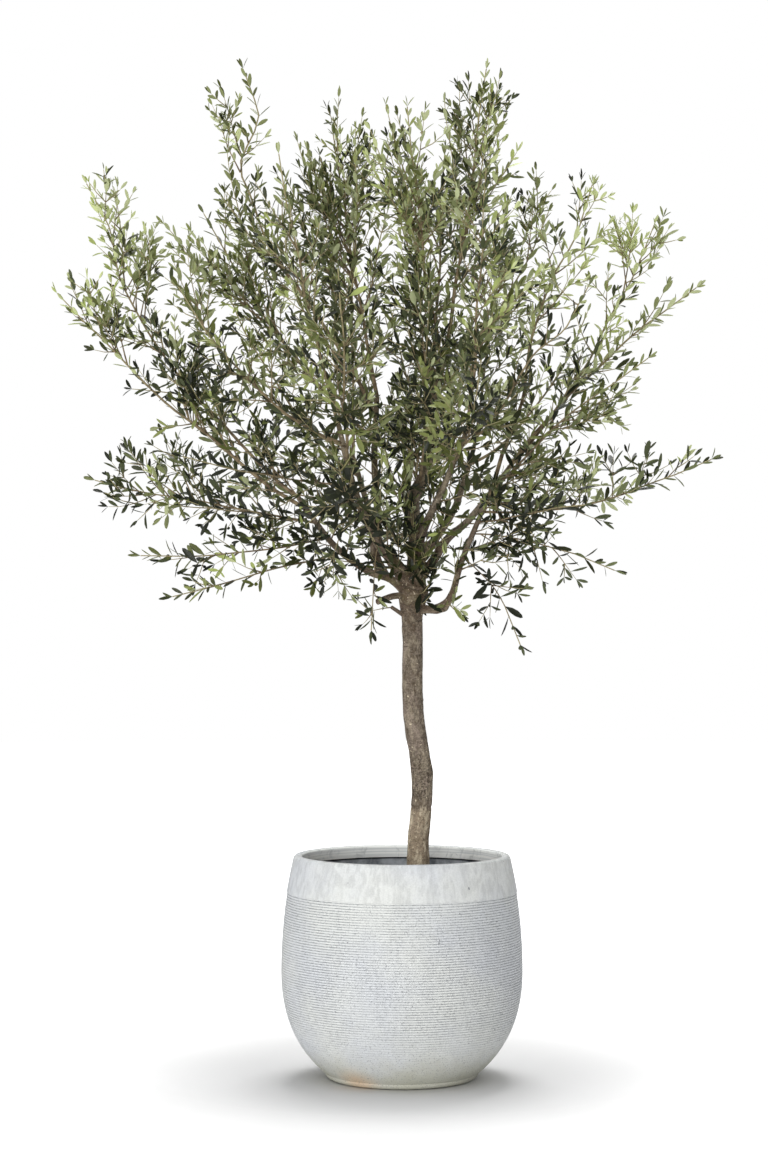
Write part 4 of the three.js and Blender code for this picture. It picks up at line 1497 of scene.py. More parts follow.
# The shoots that each limb or stem bears, as the values of a Shoot.
SHOOTS = {
    "top_spire": [
        (0, 0.35, 102, -60, 2360), (1, 0.5, 262, 50, 2350), (2, 0.62, 235, -50, 2420),
        (3, 0.55, 140, 60, 2400), (4, 0.2, 280, 60, 2150), (15, 0.72, 160, 30, 2420),
        (16, 0.76, 245, 20, 2400), (17, 0.42, 215, -80, 2320), (203, 0.05, 260, -50, 1830),
    ],
    "top_front": [
        (5, 0.4, -45, -100, 2270), (6, 0.5, -85, -220, 2180), (19, 0.3, -70, -50, 2240),
        (20, 0.22, -10, -100, 2200), (21, 0.6, -50, -130, 2340), (68, 0.25, 20, -150, 1960),
        (113, 0.5, -90, -80, 2290), (170, 0.15, -5, -120, 1960), (188, 0.2, -20, -100, 2020),
        (189, 0.12, 10, -60, 1940),
    ],
    "top_back": [
        (7, 0.5, 30, 200, 2250), (8, 0.6, 190, 300, 2200), (23, 0.6, -20, 150, 2360),
    ],
    "upper_left_back": [
        (9, 0.5, -240, 120, 2270), (10, 0.45, -110, 120, 2320), (11, 0.55, -60, 220, 2260),
        (12, 0.35, -280, 200, 2160), (13, 0.3, -20, 150, 2170), (18, 0.62, -150, 160, 2310),
        (22, 0.7, -90, 200, 2360), (86, 0.52, -225, 120, 2250), (87, 0.42, -300, 100, 2200),
        (88, 0.3, -340, 120, 2120), (111, 0.56, -262, 60, 2215), (112, 0.58, -70, 120, 2300),
        (130, 0.4, -265, 100, 2285), (131, 0.44, -235, 160, 2270), (132, 0.48, -205, 150, 2260),
        (133, 0.3, -320, 100, 2210), (134, 0.75, -85, 200, 2310),
    ],
    "left_spike": [
        (14, 0.76, -445, 20, 2400, 0.02), (89, 0.42, -400, 40, 2120), (90, 0.36, -335, 0, 2110),
        (129, 0.72, -470, 60, 2365, 0.02), (140, 0.4, -385, 20, 2090), (141, 0.45, -455, 80, 2150),
    ],
    "top_right": [
        (24, 0.8, 290, 120, 2140), (127, 0.75, 320, 80, 2150), (152, 0.85, 330, 100, 2220),
    ],
    "left_shoulder": [
        (25, 0.62, -425, 80, 2260), (26, 0.85, -430, 160, 2180), (27, 0.5, -360, 100, 2120),
        (73, 0.55, -600, 100, 2080), (74, 0.6, -535, 100, 2060), (75, 0.5, -500, 80, 2030),
        (107, 0.6, -585, 60, 2010), (119, 0.45, -400, 20, 2000, 0.02), (139, 0.66, -415, 150, 2090),
        (182, 0.7, -530, 120, 2030), (201, 0.3, -370, -20, 1770, 0.0),
    ],
    "far_left_top": [
        (28, 0.7, -690, 30, 2150), (29, 0.82, -750, 0, 2120), (30, 0.4, -450, 80, 2000),
        (83, 0.9, -705, -30, 2190), (84, 0.84, -680, 20, 2170), (120, 0.62, -590, -40, 2000, 0.0),
        (158, 0.66, -600, -20, 2020, 0.0), (172, 0.7, -590, 20, 2060), (173, 0.6, -600, -60, 2030),
        (180, 0.3, -460, -50, 1700), (197, 0.45, -600, -60, 1840), (198, 0.5, -580, 0, 1820),
    ],
    "far_left": [
        (31, 0.85, -760, -80, 1870), (32, 0.75, -720, -180, 1860), (33, 0.88, -800, -100, 1840),
        (34, 0.72, -735, -90, 1910), (78, 0.45, -560, -120, 1790), (79, 0.38, -530, -160, 1720),
        (80, 0.86, -790, -100, 1930), (81, 0.8, -750, -140, 1930), (82, 0.7, -700, -80, 1930),
        (117, 0.3, -520, -100, 1735, 0.0), (118, 0.4, -545, -160, 1760, 0.0),
        (137, 0.45, -545, -100, 1830), (138, 0.42, -530, -50, 1800, 0.0),
        (181, 0.25, -470, -140, 1690),
    ],
    "left_side": [
        (35, 0.6, -680, 90, 1530), (36, 0.72, -740, 70, 1370), (85, 0.68, -680, 120, 1550),
        (128, 0.8, -715, 60, 1430), (149, 0.55, -590, 100, 1570, 0.0),
        (150, 0.5, -560, 50, 1530, 0.0), (151, 0.86, -735, 100, 1430),
        (175, 0.65, -650, 60, 1375, 0.02), (176, 0.8, -720, 120, 1500), (196, 0.75, -745, 20, 1410),
    ],
    "front_under": [
        (37, 0.3, -190, -300, 1160, -0.08),
    ],
    "right_high": [
        (38, 0.7, 510, -50, 2060), (91, 0.84, 425, -60, 2170), (92, 0.88, 480, -60, 2140),
        (93, 0.55, 470, -40, 1990), (105, 0.7, 325, -50, 2090), (136, 0.25, 265, -100, 1690),
        (169, 0.62, 335, -120, 1950),
    ],
    "far_right_top": [
        (39, 0.72, 565, 50, 2110), (40, 0.8, 525, 100, 2050), (41, 0.6, 500, 40, 1970),
        (42, 0.85, 660, 50, 2060), (43, 0.8, 640, 120, 2020), (156, 0.75, 520, 40, 2080),
        (174, 0.9, 650, 100, 2100), (178, 0.5, 530, 0, 1860),
    ],
    "far_right": [
        (44, 0.75, 655, 30, 1930), (94, 0.45, 540, -30, 1800), (177, 0.35, 500, 20, 1790),
        (179, 0.25, 445, -50, 1730),
    ],
    "right_under": [
        (45, 0.55, 430, -100, 1170, -0.05), (46, 0.4, 340, -130, 1170, -0.05),
        (69, 0.3, 300, -120, 1240), (163, 0.05, 295, -140, 1210, -0.05),
        (164, 0.12, 350, -100, 1215, -0.05),
    ],
    "right_sprig": [
        (47, 0.4, 200, -130, 1080, -0.08),
    ],
    "trunk": [
        (48, 0.98, 85, -75, 1245, 0.1), (97, 0.96, 75, -110, 1185, 0.15),
        (98, 0.92, 80, -90, 1160, 0.15), (159, 0.97, 30, -135, 1320, 0.05),
        (160, 0.99, 78, -120, 1300, 0.05),
    ],
    "right_low": [
        (49, 0.2, 150, -110, 1120, -0.1), (53, 0.35, 130, -140, 1260),
        (202, 0.95, 385, -140, 1370, 0.0),
    ],
    "stub_short": [
        (50, 0.97, -110, -45, 1105, -0.05),
    ],
    "front_right": [
        (51, 0.25, 110, -160, 1270, -0.1), (54, 0.35, 170, -220, 1330), (61, 0.2, 80, -130, 1430),
        (62, 0.3, 50, -200, 1520), (135, 0.95, 235, -220, 1670), (183, 0.85, 265, -200, 1660),
    ],
    "right": [
        (52, 0.3, 200, -120, 1270), (63, 0.15, 110, -100, 1400),
    ],
    "front_left": [
        (55, 0.2, -230, -200, 1260), (57, 0.15, -10, -150, 1340), (58, 0.25, -40, -180, 1450),
        (71, 0.35, -50, -280, 1500), (161, 0.1, -40, -130, 1240, 0.0),
        (184, 0.95, -260, -250, 1560),
    ],
    "leader": [
        (56, 0.3, -80, -200, 1600), (59, 0.05, 20, -110, 1400), (60, 0.12, 0, -120, 1500),
        (64, 0.8, 30, -80, 1850), (65, 0.7, 80, 100, 1810), (70, 0.2, -50, -180, 1490),
        (96, 0.92, -20, -40, 1980), (124, 0.45, -10, -120, 1690), (125, 0.55, 10, -160, 1660),
        (126, 0.78, 125, -100, 1820), (142, 0.5, -5, -80, 1700), (143, 0.42, -15, -50, 1660),
        (144, 0.9, 140, -60, 1840), (162, 0.02, 52, -125, 1225, 0.0), (187, 0.95, -15, -60, 1900),
        (191, 0.88, 120, -120, 1830),
    ],
    "core_front": [
        (66, 0.7, 30, -300, 1930), (67, 0.6, -10, -280, 1860), (190, 0.85, 0, -250, 1900),
    ],
    "left_rise": [
        (72, 0.6, -100, -50, 1600), (186, 0.45, -20, -30, 1690),
    ],
    "front_left_far": [
        (76, 0.7, -540, -300, 1950), (77, 0.8, -500, -340, 1970), (192, 0.45, -320, -280, 1600),
        (193, 0.55, -380, -300, 1580), (200, 0.35, -350, -220, 1660),
    ],
    "right_side": [
        (95, 0.55, 560, -120, 1670), (103, 0.45, 500, -120, 1610), (104, 0.5, 535, -150, 1600),
        (115, 0.12, 400, -130, 1480, 0.0), (116, 0.2, 460, -160, 1500, 0.0),
        (147, 0.48, 525, -100, 1630, 0.0), (148, 0.42, 500, -200, 1580, 0.0),
        (171, 0.28, 385, -100, 1620),
    ],
    "right_reach": [
        (99, 0.55, 510, -20, 1520), (100, 0.66, 600, 20, 1530), (101, 0.7, 620, -50, 1460),
        (102, 0.8, 700, 0, 1520), (114, 0.3, 450, -70, 1470, -0.02),
        (145, 0.42, 465, -50, 1500, -0.02), (146, 0.38, 475, 0, 1470, 0.0),
    ],
    "front_right_high": [
        (106, 0.9, 330, -350, 1900),
    ],
    "left_under": [
        (108, 0.35, -370, -100, 1340, 0.02), (122, 0.3, -410, -60, 1300, 0.0),
        (123, 0.24, -380, -160, 1330, 0.0), (153, 0.6, -530, -120, 1215, 0.0),
        (154, 0.7, -600, -50, 1235, 0.0), (155, 0.5, -470, -60, 1220, 0.0),
    ],
    "left_low": [
        (109, 0.75, -220, -120, 1220, 0.0), (110, 0.6, -270, -100, 1300, 0.0),
        (121, 0.8, -390, -100, 1370, 0.02), (165, 0.9, -290, -120, 1345, 0.0),
        (166, 0.7, -265, -140, 1300, 0.0), (185, 0.98, -380, -100, 1620),
        (199, 0.85, -375, -60, 1290, -0.02),
    ],
    "left_sprig": [
        (157, 0.1, -215, -100, 1155, 0.0), (167, 0.65, -500, -260, 1165, 0.0),
        (168, 0.05, -145, -90, 1150, 0.0),
    ],
    "front_left_side": [
        (194, 0.5, -330, -350, 1530), (195, 0.35, -260, -280, 1500),
    ],
}


@dataclass(frozen=True)
class LeafShape:
    """The outline and section of a leaf. It has an upper and a lower rib, and shares its edges."""

    outline: tuple[Pair, ...] = ((0.1, 0.24), (0.34, 0.84), (0.64, 1.0), (0.9, 0.58))
    thickness: float = 0.0005

    def corners(self) -> tuple[Array, Array, Array]:
        """Lists a leaf's corners, from its base over each station to its tip.

        Returns:
            For each corner its share of the length, its share of the half width to either side,
            and which face of the rib it lies on: 1 above, -1 below, 0 for an edge.
        """
        along, sideways, rib = [0.0], [0.0], [0.0]
        for station, half in self.outline:
            along += [station] * 4
            sideways += [half, -half, 0.0, 0.0]
            rib += [0.0, 0.0, 1.0, -1.0]
        return np.array([*along, 1.0]), np.array([*sideways, 0.0]), np.array([*rib, 0.0])

    def faces(self) -> Array:
        """Lists a leaf's triangles, first those of the upper side and then those of the underside.

        Returns:
            The triangles.
        """
        tip = 4 * len(self.outline) + 1
        sides = []
        for rib in (2, 3):
            rows = [(4 * i + 1, 4 * i + 2, 4 * i + 1 + rib) for i in range(len(self.outline))]
            left, right, middle = rows[0]
            triangles = [(0, middle, left), (0, right, middle)]
            for (left, right, middle), (next_left, next_right, next_middle) in zip(rows, rows[1:]):
                triangles += [(middle, next_middle, next_left), (middle, next_left, left)]
                triangles += [(right, next_right, next_middle), (right, next_middle, middle)]
            left, right, middle = rows[-1]
            triangles += [(middle, tip, left), (right, tip, middle)]
            sides.append(np.array(triangles))
        return np.vstack([sides[0], sides[1][:, ::-1]])


@dataclass
class Leafage:
    """The leaves of one tint, as they are added to the crown."""

    shape: LeafShape = field(default_factory=LeafShape)
    leaves: list[tuple] = field(default_factory=list)

    def add(self, start: Array, way: Array, normal: Array, size: Pair,
            bend: Pair) -> None:
        """Adds a leaf.

        Args:
            start: Where its stalk meets the twig.
            way: The way it points.
            normal: The way its upper side faces.
            size: Its length and half its width.
            bend: How far its edges fold up and its tip curls down.
        """
        normal = unit(normal - way * (normal @ way))
        self.leaves.append((start, way, np.cross(normal, way), normal, size, bend))

    def form(self) -> Form:
        """Joins the leaves as one form.

        Returns:
            The form, with the upper sides in the first finish and the undersides in the second.
        """
        start, way, across, normal, size, bend = (np.array(column) for column in zip(*self.leaves))
        along, sideways, rib = self.shape.corners()
        length, half = size[:, :1], size[:, 1:]
        fold, curl = bend[:, :1], bend[:, 1:]
        lift = half * fold * np.abs(sideways) - length * curl * along**2 + rib * self.shape.thickness / 2
        vertices = (
            start[:, None]
            + way[:, None] * (length * along)[..., None]
            + across[:, None] * (half * sideways)[..., None]
            + normal[:, None] * lift[..., None]
        )
        faces = self.shape.faces()
        starts = (np.arange(len(self.leaves)) * len(along))[:, None, None]
        finishes = np.tile(np.repeat([0, 1], len(faces) // 2), len(self.leaves))
        return Form(vertices.reshape(-1, 3), (faces + starts).reshape(-1, 3), finishes)


@dataclass
class Crown:
    """The stems, shoots, twigs and leaves that grow on from the limbs."""

    wood: Woodwork
    bare_foot: float = 0.090
    bare_tip: float = 0.060
    pair_pitch: float = 0.126
    finer: int = 3
    twig_angle: float = 46.0
    twig_angle_play: float = 8.0
    twig_turn_play: float = 0.4
    twig_lift: float = 0.14
    shortest_twig: float = 0.026
    coarse_leaf: float = 0.132
    tries: tuple[float, ...] = (1.0, 0.75, 0.5, 0.3)
    mingle: float = 0.035
    shoot_mingle: float = 0.09
    limb_margin: float = 0.006
    leaf_space: float = 0.6
    limb_steps: int = 60
    stem_steps: int = 48
    stem_thickness: float = 0.8
    low_slenderness: float = 0.0055
    high_slenderness: float = 0.008
    stem_tip: float = 0.0013
    stem_waver: float = 0.010
    waver_seed: int = 4
    shoot_foot: float = 0.0028
    twig_foot: float = 0.0018
    twig_tip: float = 0.0009
    twig_collar: float = 1.5
    bare_twig: float = 0.014
    bare_share: Pair = (0.0, 0.45)
    bare_shoot: Pair = (0.15, 0.35)
    firm_foot: float = 0.12
    waver_pitch: float = 6.5
    slender_heights: Pair = (1.4, 2.0)
    stem_rings: int = 24
    stem_taper: float = 0.7
    tip_spray: float = 0.30
    fine_turn: float = 0.61
    fine_likely: Pair = (0.5, 0.95)
    fine_length: Pair = (0.35, 1.15)
    fine_slip: float = 0.012
    fine_lean: float = 0.35
    twig_length: Pair = (0.8, 1.15)
    twig_hang: Pair = (-0.02, 0.08)
    twig_bend: float = 0.12
    twig_ring_step: float = 0.03
    shoot_ring_step: float = 0.025
    wild_shoots: int = 2
    wild_start: float = 0.35
    wild_stretch: float = 0.5
    wild_lift: Pair = (0.1, 0.4)
    wild_angle: Pair = (24, 42)
    wild_length: Pair = (0.9, 1.5)
    sprig_pitch: float = 0.036
    sprig_share: float = 0.5
    sprig_start: float = 0.03
    sprig_end: float = 0.78
    sprig_angle: Pair = (34, 56)
    sprig_length: Pair = (0.085, 0.035)
    sprig_play: Pair = (0.6, 1.2)
    sprig_lift: Pair = (0.0, 0.2)
    sprig_radii: tuple[float, ...] = (0.00153, 0.00117, 0.00072)
    sprig_leaf: float = 0.88
    bare_sprig: float = 0.012
    sprigged_twig: float = 0.11
    sprout_pitch: float = 0.05
    sprout_angle: float = 55
    sprout_lift: float = 0.2
    sprout_length: Pair = (0.07, 0.20)
    sprouting_share: float = 0.6
    own_tint: float = 0.55
    # Where the painted light of the paler tints grows: with height, and with reach from the trunk.
    painted_light_heights: Pair = (1.55, 2.25)
    painted_light_reach: Pair = (0.2, 0.75)
    low_crown: Pair = (1.25, 1.95)
    low_pitch: float = 0.0265
    high_pitch: float = 0.0235
    low_leaf: Pair = (0.0465, 0.255)
    high_leaf: Pair = (0.0388, 0.285)
    low_angles: Pair = (68, 38)
    high_angles: Pair = (54, 29)
    missing_leaf: float = 0.12
    leaf_angle_play: float = 17
    leaf_turn_play: float = 0.35
    leaf_length_play: Pair = (0.78, 1.2)
    leaf_width_play: Pair = (0.85, 1.15)
    first_leaf: float = 0.82
    leaf_rise: Pair = (-0.12, 0.16)
    low_rise: float = 0.12
    leaf_lift: float = 0.6
    leaf_roll: float = 0.9
    leaf_fold: Pair = (0.1, 0.4)
    leaf_curl: Pair = (-0.04, 0.12)
    leaf_length: float = 0.042
    tip_length: float = 0.65
    stem_sides: int = 8
    shoot_sides: int = 5
    twig_sides: int = 4
    forms: list[Form] = field(default_factory=list)
    youth: list[Array] = field(default_factory=list)
    leafage: dict[Tint, Leafage] = field(default_factory=lambda: {tint: Leafage() for tint in Tint})

    def __post_init__(self) -> None:
        """Grows every stem, and maps the stems and limbs for the rule of space."""
        noise.seed_set(self.waver_seed)
        self.stems = [self.stem(mass) for mass in MASSES]
        self.stem_points = [stem.spaced(self.stem_steps) for stem in self.stems]
        self.space = point_tree([point for points in self.stem_points for point in points])
        self.limb_points = [
            (limb.line.spaced(self.limb_steps), limb.radius(np.linspace(0, 1, self.limb_steps + 1)))
            for limb in self.wood.limbs.values()
        ]

    def stem(self, mass: Mass) -> Line:
        """Hangs a mass's stem as the CAD part does, and carries it on to its tip leaves.

        Args:
            mass: The mass.

        Returns:
            The stem's middle line, which wavers a little.
        """
        foot, tip = self.wood.limbs[mass.on].line.at(mass.place), np.array(mass.tip)
        way = unit(tip - hanging_middle(foot, tip, mass.hang))
        coarse = hanging_line(foot, tip - way * self.coarse_leaf, mass.hang)
        share = coarse.marks / coarse.length
        bend = mass.sway * smooth(0.1, 0.7, share) * smooth(1.0, 0.8, share)
        points = coarse.points + np.outer(bend, [1, 0, 0])
        shoot = self.coarse_leaf - self.leaf_length * self.tip_length
        return self.wavering(np.vstack([points, points[-1] + way * shoot]))

    def wavering(self, points: Array) -> Line:
        """Lets a line waver a little, but not at its foot.

        Args:
            points: The points of the even line.

        Returns:
            The wavering line.
        """
        fade = smooth(0.0, self.firm_foot, Line(points).marks)[:, None]
        waver = np.array([noise.noise_vector(Vector(point) * self.waver_pitch)[:] for point in points])
        return Line(points + waver * self.stem_waver * fade)

    def build(self) -> None:
        """Grows the crown and dresses its twigs and its leaves."""
        for seed, mass in enumerate(MASSES):
            self.grow_mass(seed, mass)
            self.grow_wild_shoots(seed, mass)
        bearers = {name: limb.line for name, limb in self.wood.limbs.items()}
        bearers.update({mass.name: stem for mass, stem in zip(MASSES, self.stems)})
        planned = [(Shoot(*row), bearers[name]) for name, rows in SHOOTS.items() for row in rows]
        for shoot, bearer in sorted(planned, key=lambda plan: plan[0].seed):
            foot = bearer.at(shoot.place)
            self.leafy_shoot(foot, shoot.tip, shoot.hang, Dice(SHOOT_SEED + shoot.seed))
        self.grow_sprouts()
        nodes = [f"foliage_{mass.name}" for mass in MASSES]
        mesh = Form.joined(self.forms).mesh("twigs")
        youth = mesh.attributes.new("youth", "FLOAT", "POINT")
        youth.data.foreach_set("value", np.concatenate(self.youth))
        place_piece("twigs", mesh, [TwigSkin().make()], nodes)
        for tint, leafage in self.leafage.items():
            name = f"leaves_{tint.name.lower()}"
            mesh = leafage.form().mesh(name)
            mesh.set_sharp_from_angle(angle=math.radians(75))
            place_piece(name, mesh, tint.value.make(name), nodes)
            log.info("%s: %d leaves", name, len(leafage.leaves))

    def add_wood(self, line: Line, radii: Array, sides: int, youth: Pair) -> None:
        """Adds a stem or twig.

        Args:
            line: Its middle line.
            radii: The radius of each ring.
            sides: How many sides a ring has.
            youth: How young its bark is at its foot and at its tip, from 0 to 1.
        """
        self.forms.append(tube(line.spaced(len(radii) - 1), radii, sides))
        ages = np.repeat(np.linspace(*youth, len(radii)), sides)
        self.youth.append(np.concatenate([ages, youth]))

    def grow_mass(self, seed: int, mass: Mass) -> None:
        """Grows one mass: its stem, and the pairs of twigs that branch off it.

        Args:
            seed: The mass's own seed.
            mass: The mass.
        """
        stem = self.stems[seed]
        carrier = self.wood.limbs[mass.on]
        foot = float(carrier.radius(np.array(mass.place))) * self.stem_thickness
        high = smooth(*self.slender_heights, mass.tip[2])
        foot = min(foot, mix(self.low_slenderness, self.high_slenderness, high) * stem.length)
        shares = np.linspace(0.0, 1.0, self.stem_rings + 1)
        radii = mix(foot, self.stem_tip, shares**self.stem_taper)
        self.add_wood(stem, radii, self.stem_sides, (0.0, 0.8))
        coarse_length = stem.length - (self.coarse_leaf - self.leaf_length * self.tip_length)
        first_turn = Dice(seed).between(0, math.pi)
        pitch = self.pair_pitch / self.finer
        pairs = math.floor((coarse_length - self.bare_foot - self.bare_tip) / pitch) + 1
        for pair in range(pairs):
            coarse, between = divmod(pair, self.finer)
            fine = between > 0
            throw = FINE_SEED * (seed + 1) + pair if fine else COARSE_SEED * (seed + 1) + coarse
            dice = Dice(throw)
            way = self.bare_foot + pair * pitch
            turn = first_turn + QUARTER_TURN * (pair * self.fine_turn if fine else coarse)
            turn += dice.play(self.twig_turn_play)
            reach = mass.spread * self.length_share(way / coarse_length) * mix(0.6, 1.0, mass.fullness)
            for opposite in (0.0, math.pi):
                likely = mix(*self.fine_likely, way / coarse_length) * mass.fullness
                if not fine or dice.next() < likely:
                    self.grow_twig(seed, stem, way / stem.length, turn + opposite, reach, dice, fine)
        spray = Dice(SPRAY_SEED + seed)
        tint = self.tint_for(stem.at(1.0), spray)
        start = max(1 - self.tip_spray * spray.between(0.8, 1.2) / stem.length, 0.25)
        self.add_leaves(stem, start, first_turn, tint, spray)

    def length_share(self, share: float) -> float:
        """Returns how long a twig is for its place: longest a third of the way up the stem."""
        return mix(0.55, 1.0, smooth(0.0, 0.3, share)) * mix(1.0, 0.42, smooth(0.3, 1.0, share))

    def grow_twig(self, seed: int, stem: Line, place: float, turn: float, reach: float, dice: Dice,
                  fine: bool) -> None:
        """Grows a twig as long as its mass's space allows, with its leaves.

        Args:
            seed: The mass's own seed.
            stem: The stem that bears it.
            place: The share of the stem's length that it stands at.
            turn: Its turn about the stem.
            reach: How long it may be.
            dice: The dice for its angle and length.
            fine: Whether it is one of the finer twigs that the CAD part leaves out.
        """
        axis = stem.tangent(place)
        angle = self.twig_angle + dice.play(self.twig_angle_play)
        way = leaning(axis, square_to(axis), angle, turn)
        long = reach * dice.between(*self.twig_length)
        leaf_turn = dice.between(0, math.pi)
        if fine:
            long *= dice.between(*self.fine_length)
            place += dice.play(self.fine_slip)
            way = unit(way + square_to(way) * dice.play(self.fine_lean))
        way = way + UP * self.twig_lift
        long = max(long, self.shortest_twig)
        foot = stem.at(place)
        tip = self.fitting_tip(seed, foot, way * long, self.mingle)
        if tip is not None:
            self.leafy_twig(foot, tip, leaf_turn, dice)

    def grow_wild_shoots(self, seed: int, mass: Mass) -> None:
        """Grows a few long shoots that rise from a mass's stem and break up its outline.

        Args:
            seed: The mass's own seed.
            mass: The mass.
        """
        stem = self.stems[seed]
        for shoot in range(round(self.wild_shoots * mass.fullness)):
            dice = Dice(WILD_SEED + 50 * seed + shoot)
            place = self.wild_start + self.wild_stretch * (shoot + dice.next()) / self.wild_shoots
            axis = stem.tangent(place)
            angle, turn = dice.between(*self.wild_angle), dice.between(0, 2 * math.pi)
            way = leaning(axis, square_to(axis), angle, turn)
            way = unit(way + UP * dice.between(*self.wild_lift))
            long = mass.spread * dice.between(*self.wild_length) * mix(1.0, 0.7, place)
            foot = stem.at(place)
            tip = self.fitting_tip(seed, foot, way * long, self.shoot_mingle)
            if tip is not None:
                self.leafy_shoot(foot, tip, dice.between(0.0, 0.1), dice)

    def fitting_tip(self, seed: int, foot: Array, reach: Array, mingle: float) -> Array | None:
        """Finds how far a twig can reach in its mass's space and off the limbs.

        Args:
            seed: The mass's own seed.
            foot: Where the twig starts.
            reach: How far it would reach.
            mingle: How far it may reach in among its neighbours.

        Returns:
            The twig's tip, or nothing if there is no space for it.
        """
        for share in self.tries:
            tip = foot + reach * share
            end = tip + unit(tip - foot) * self.leaf_length * self.leaf_space
            nearest = self.space.find(end)[2]
            own = np.linalg.norm(self.stem_points[seed] - end, axis=1).min()
            if own <= nearest + mingle and self.clear(mix(foot, tip, 0.5), tip, end):
                return tip
        return None

    def clear(self, *points: Array) -> bool:
        """Tells whether all of some points lie clear of the limbs.

        Args:
            *points: The points.

        Returns:
            Whether they do.
        """
        return not any(
            (np.linalg.norm(line - point, axis=1) < radius + self.limb_margin).any()
            for point in points
            for line, radius in self.limb_points
        )

    def leafy_shoot(self, foot: Array, tip: Array, hang: float, dice: Dice) -> None:
        """Grows a shoot with short sprigs and leaves along it.

        Args:
            foot: Where it starts.
            tip: The furthest tip of its leaves.
            hang: How far it hangs.
            dice: The dice for its play.
        """
        way = unit(tip - foot)
        points = hanging_line(foot, tip - way * self.leaf_length * self.tip_length, hang, 30).points
        line = self.wavering(points)
        rings = max(4, round(line.length / self.shoot_ring_step) + 1)
        thick = mix(0.6, 1.0, smooth(0.08, 0.35, line.length))
        radii = mix(self.shoot_foot, self.twig_tip, np.linspace(0, 1, rings) ** 0.8) * thick
        self.add_wood(line, radii, self.shoot_sides, (0.1, 1.0))
        tint = self.tint_for(tip, dice)
        turn = dice.between(0, math.pi)
        self.add_sprigs(line, turn, dice, tint)
        self.add_leaves(line, dice.between(*self.bare_shoot), turn, tint, dice)

    def add_sprigs(self, line: Line, turn: float, dice: Dice, tint: Tint) -> None:
        """Branches short sprigs off the lower part of a shoot or twig.

        Args:
            line: The shoot's middle line.
            turn: The turn of the first ones.
            dice: The dice for their play.
            tint: The tint of their leaves.
        """
        along = self.sprig_start + self.sprig_pitch * dice.next()
        while along < line.length * self.sprig_end:
            share = along / line.length
            axis = line.tangent(share)
            turn += QUARTER_TURN
            for opposite in (0.0, math.pi):
                if dice.next() > self.sprig_share:
                    continue
                way = leaning(axis, square_to(axis), dice.between(*self.sprig_angle), turn + opposite)
                way = unit(way + UP * dice.between(*self.sprig_lift))
                long = mix(*self.sprig_length, share) * dice.between(*self.sprig_play)
                foot = line.at(share)
                sprig = hanging_line(foot, foot + way * long, dice.between(0.0, 0.08), 6)
                self.add_wood(sprig, np.array(self.sprig_radii), self.twig_sides, (0.5, 1.0))
                own = self.tint_for(sprig.at(1.0), dice) if dice.next() < self.own_tint else tint
                leaf_turn = dice.between(0, math.pi)
                self.add_leaves(sprig, self.bare_sprig / long, leaf_turn, own, dice, self.sprig_leaf)
            along += self.sprig_pitch * dice.between(0.7, 1.3)

    def leafy_twig(self, foot: Array, tip: Array, turn: float, dice: Dice) -> None:
        """Grows a twig that bends a little, with its leaves.

        Args:
            foot: Where it starts.
            tip: Where it ends.
            turn: The turn of its first pair of leaves.
            dice: The dice for its bend and tint.
        """
        long = float(np.linalg.norm(tip - foot))
        line = self.bent_line(foot, tip, dice)
        rings = max(3, round(long / self.twig_ring_step) + 1)
        thick = mix(0.7, 1.0, smooth(0.03, 0.16, long))
        radii = mix(self.twig_foot, self.twig_tip, np.linspace(0, 1, rings)) * thick
        radii[0] *= self.twig_collar
        self.add_wood(line, radii, self.twig_sides, (0.25, 1.0))
        tint = self.tint_for(tip, dice)
        if long > self.sprigged_twig:
            self.add_sprigs(line, turn + QUARTER_TURN / 2, dice, tint)
        bare = max(self.bare_twig / long, dice.between(*self.bare_share))
        self.add_leaves(line, bare, turn, tint, dice)

    def bent_line(self, foot: Array, tip: Array, dice: Dice) -> Line:
        """Runs a line from its foot to its tip that hangs a little and bends to one side.

        Args:
            foot: Where it starts.
            tip: Where it ends.
            dice: The dice for its bend.

        Returns:
            The line.
        """
        hanging = hanging_line(foot, tip, dice.between(*self.twig_hang), 10)
        side = square_to(unit(tip - foot)) * dice.play(self.twig_bend) * hanging.length
        arch = np.sin(np.linspace(0, math.pi, 11))[:, None]
        return Line(hanging.points + side * arch)

    def tint_for(self, place: Array, dice: Dice) -> Tint:
        """Deals a spray its tint: darker in the low heart of the crown as painted shade, paler out and
        up as painted light.

        Args:
            place: Where the spray ends.
            dice: The dice that deal it.

        Returns:
            The tint.
        """
        # Painted light and shade: the paler tints grow likelier higher up and further out.
        rise = smooth(*self.painted_light_heights, place[2])
        out = smooth(*self.painted_light_reach, float(np.linalg.norm(place[:2])))
        painted_light = min(0.85 * rise + 0.5 * out * mix(0.4, 1.0, rise), 1.0)
        weights = [mix(low, high, painted_light) for low, high in TINT_WEIGHTS]
        draw = dice.next() * sum(weights)
        for tint, weight in zip(Tint, weights):
            draw -= weight
            if draw <= 0:
                return tint
        return Tint.MID

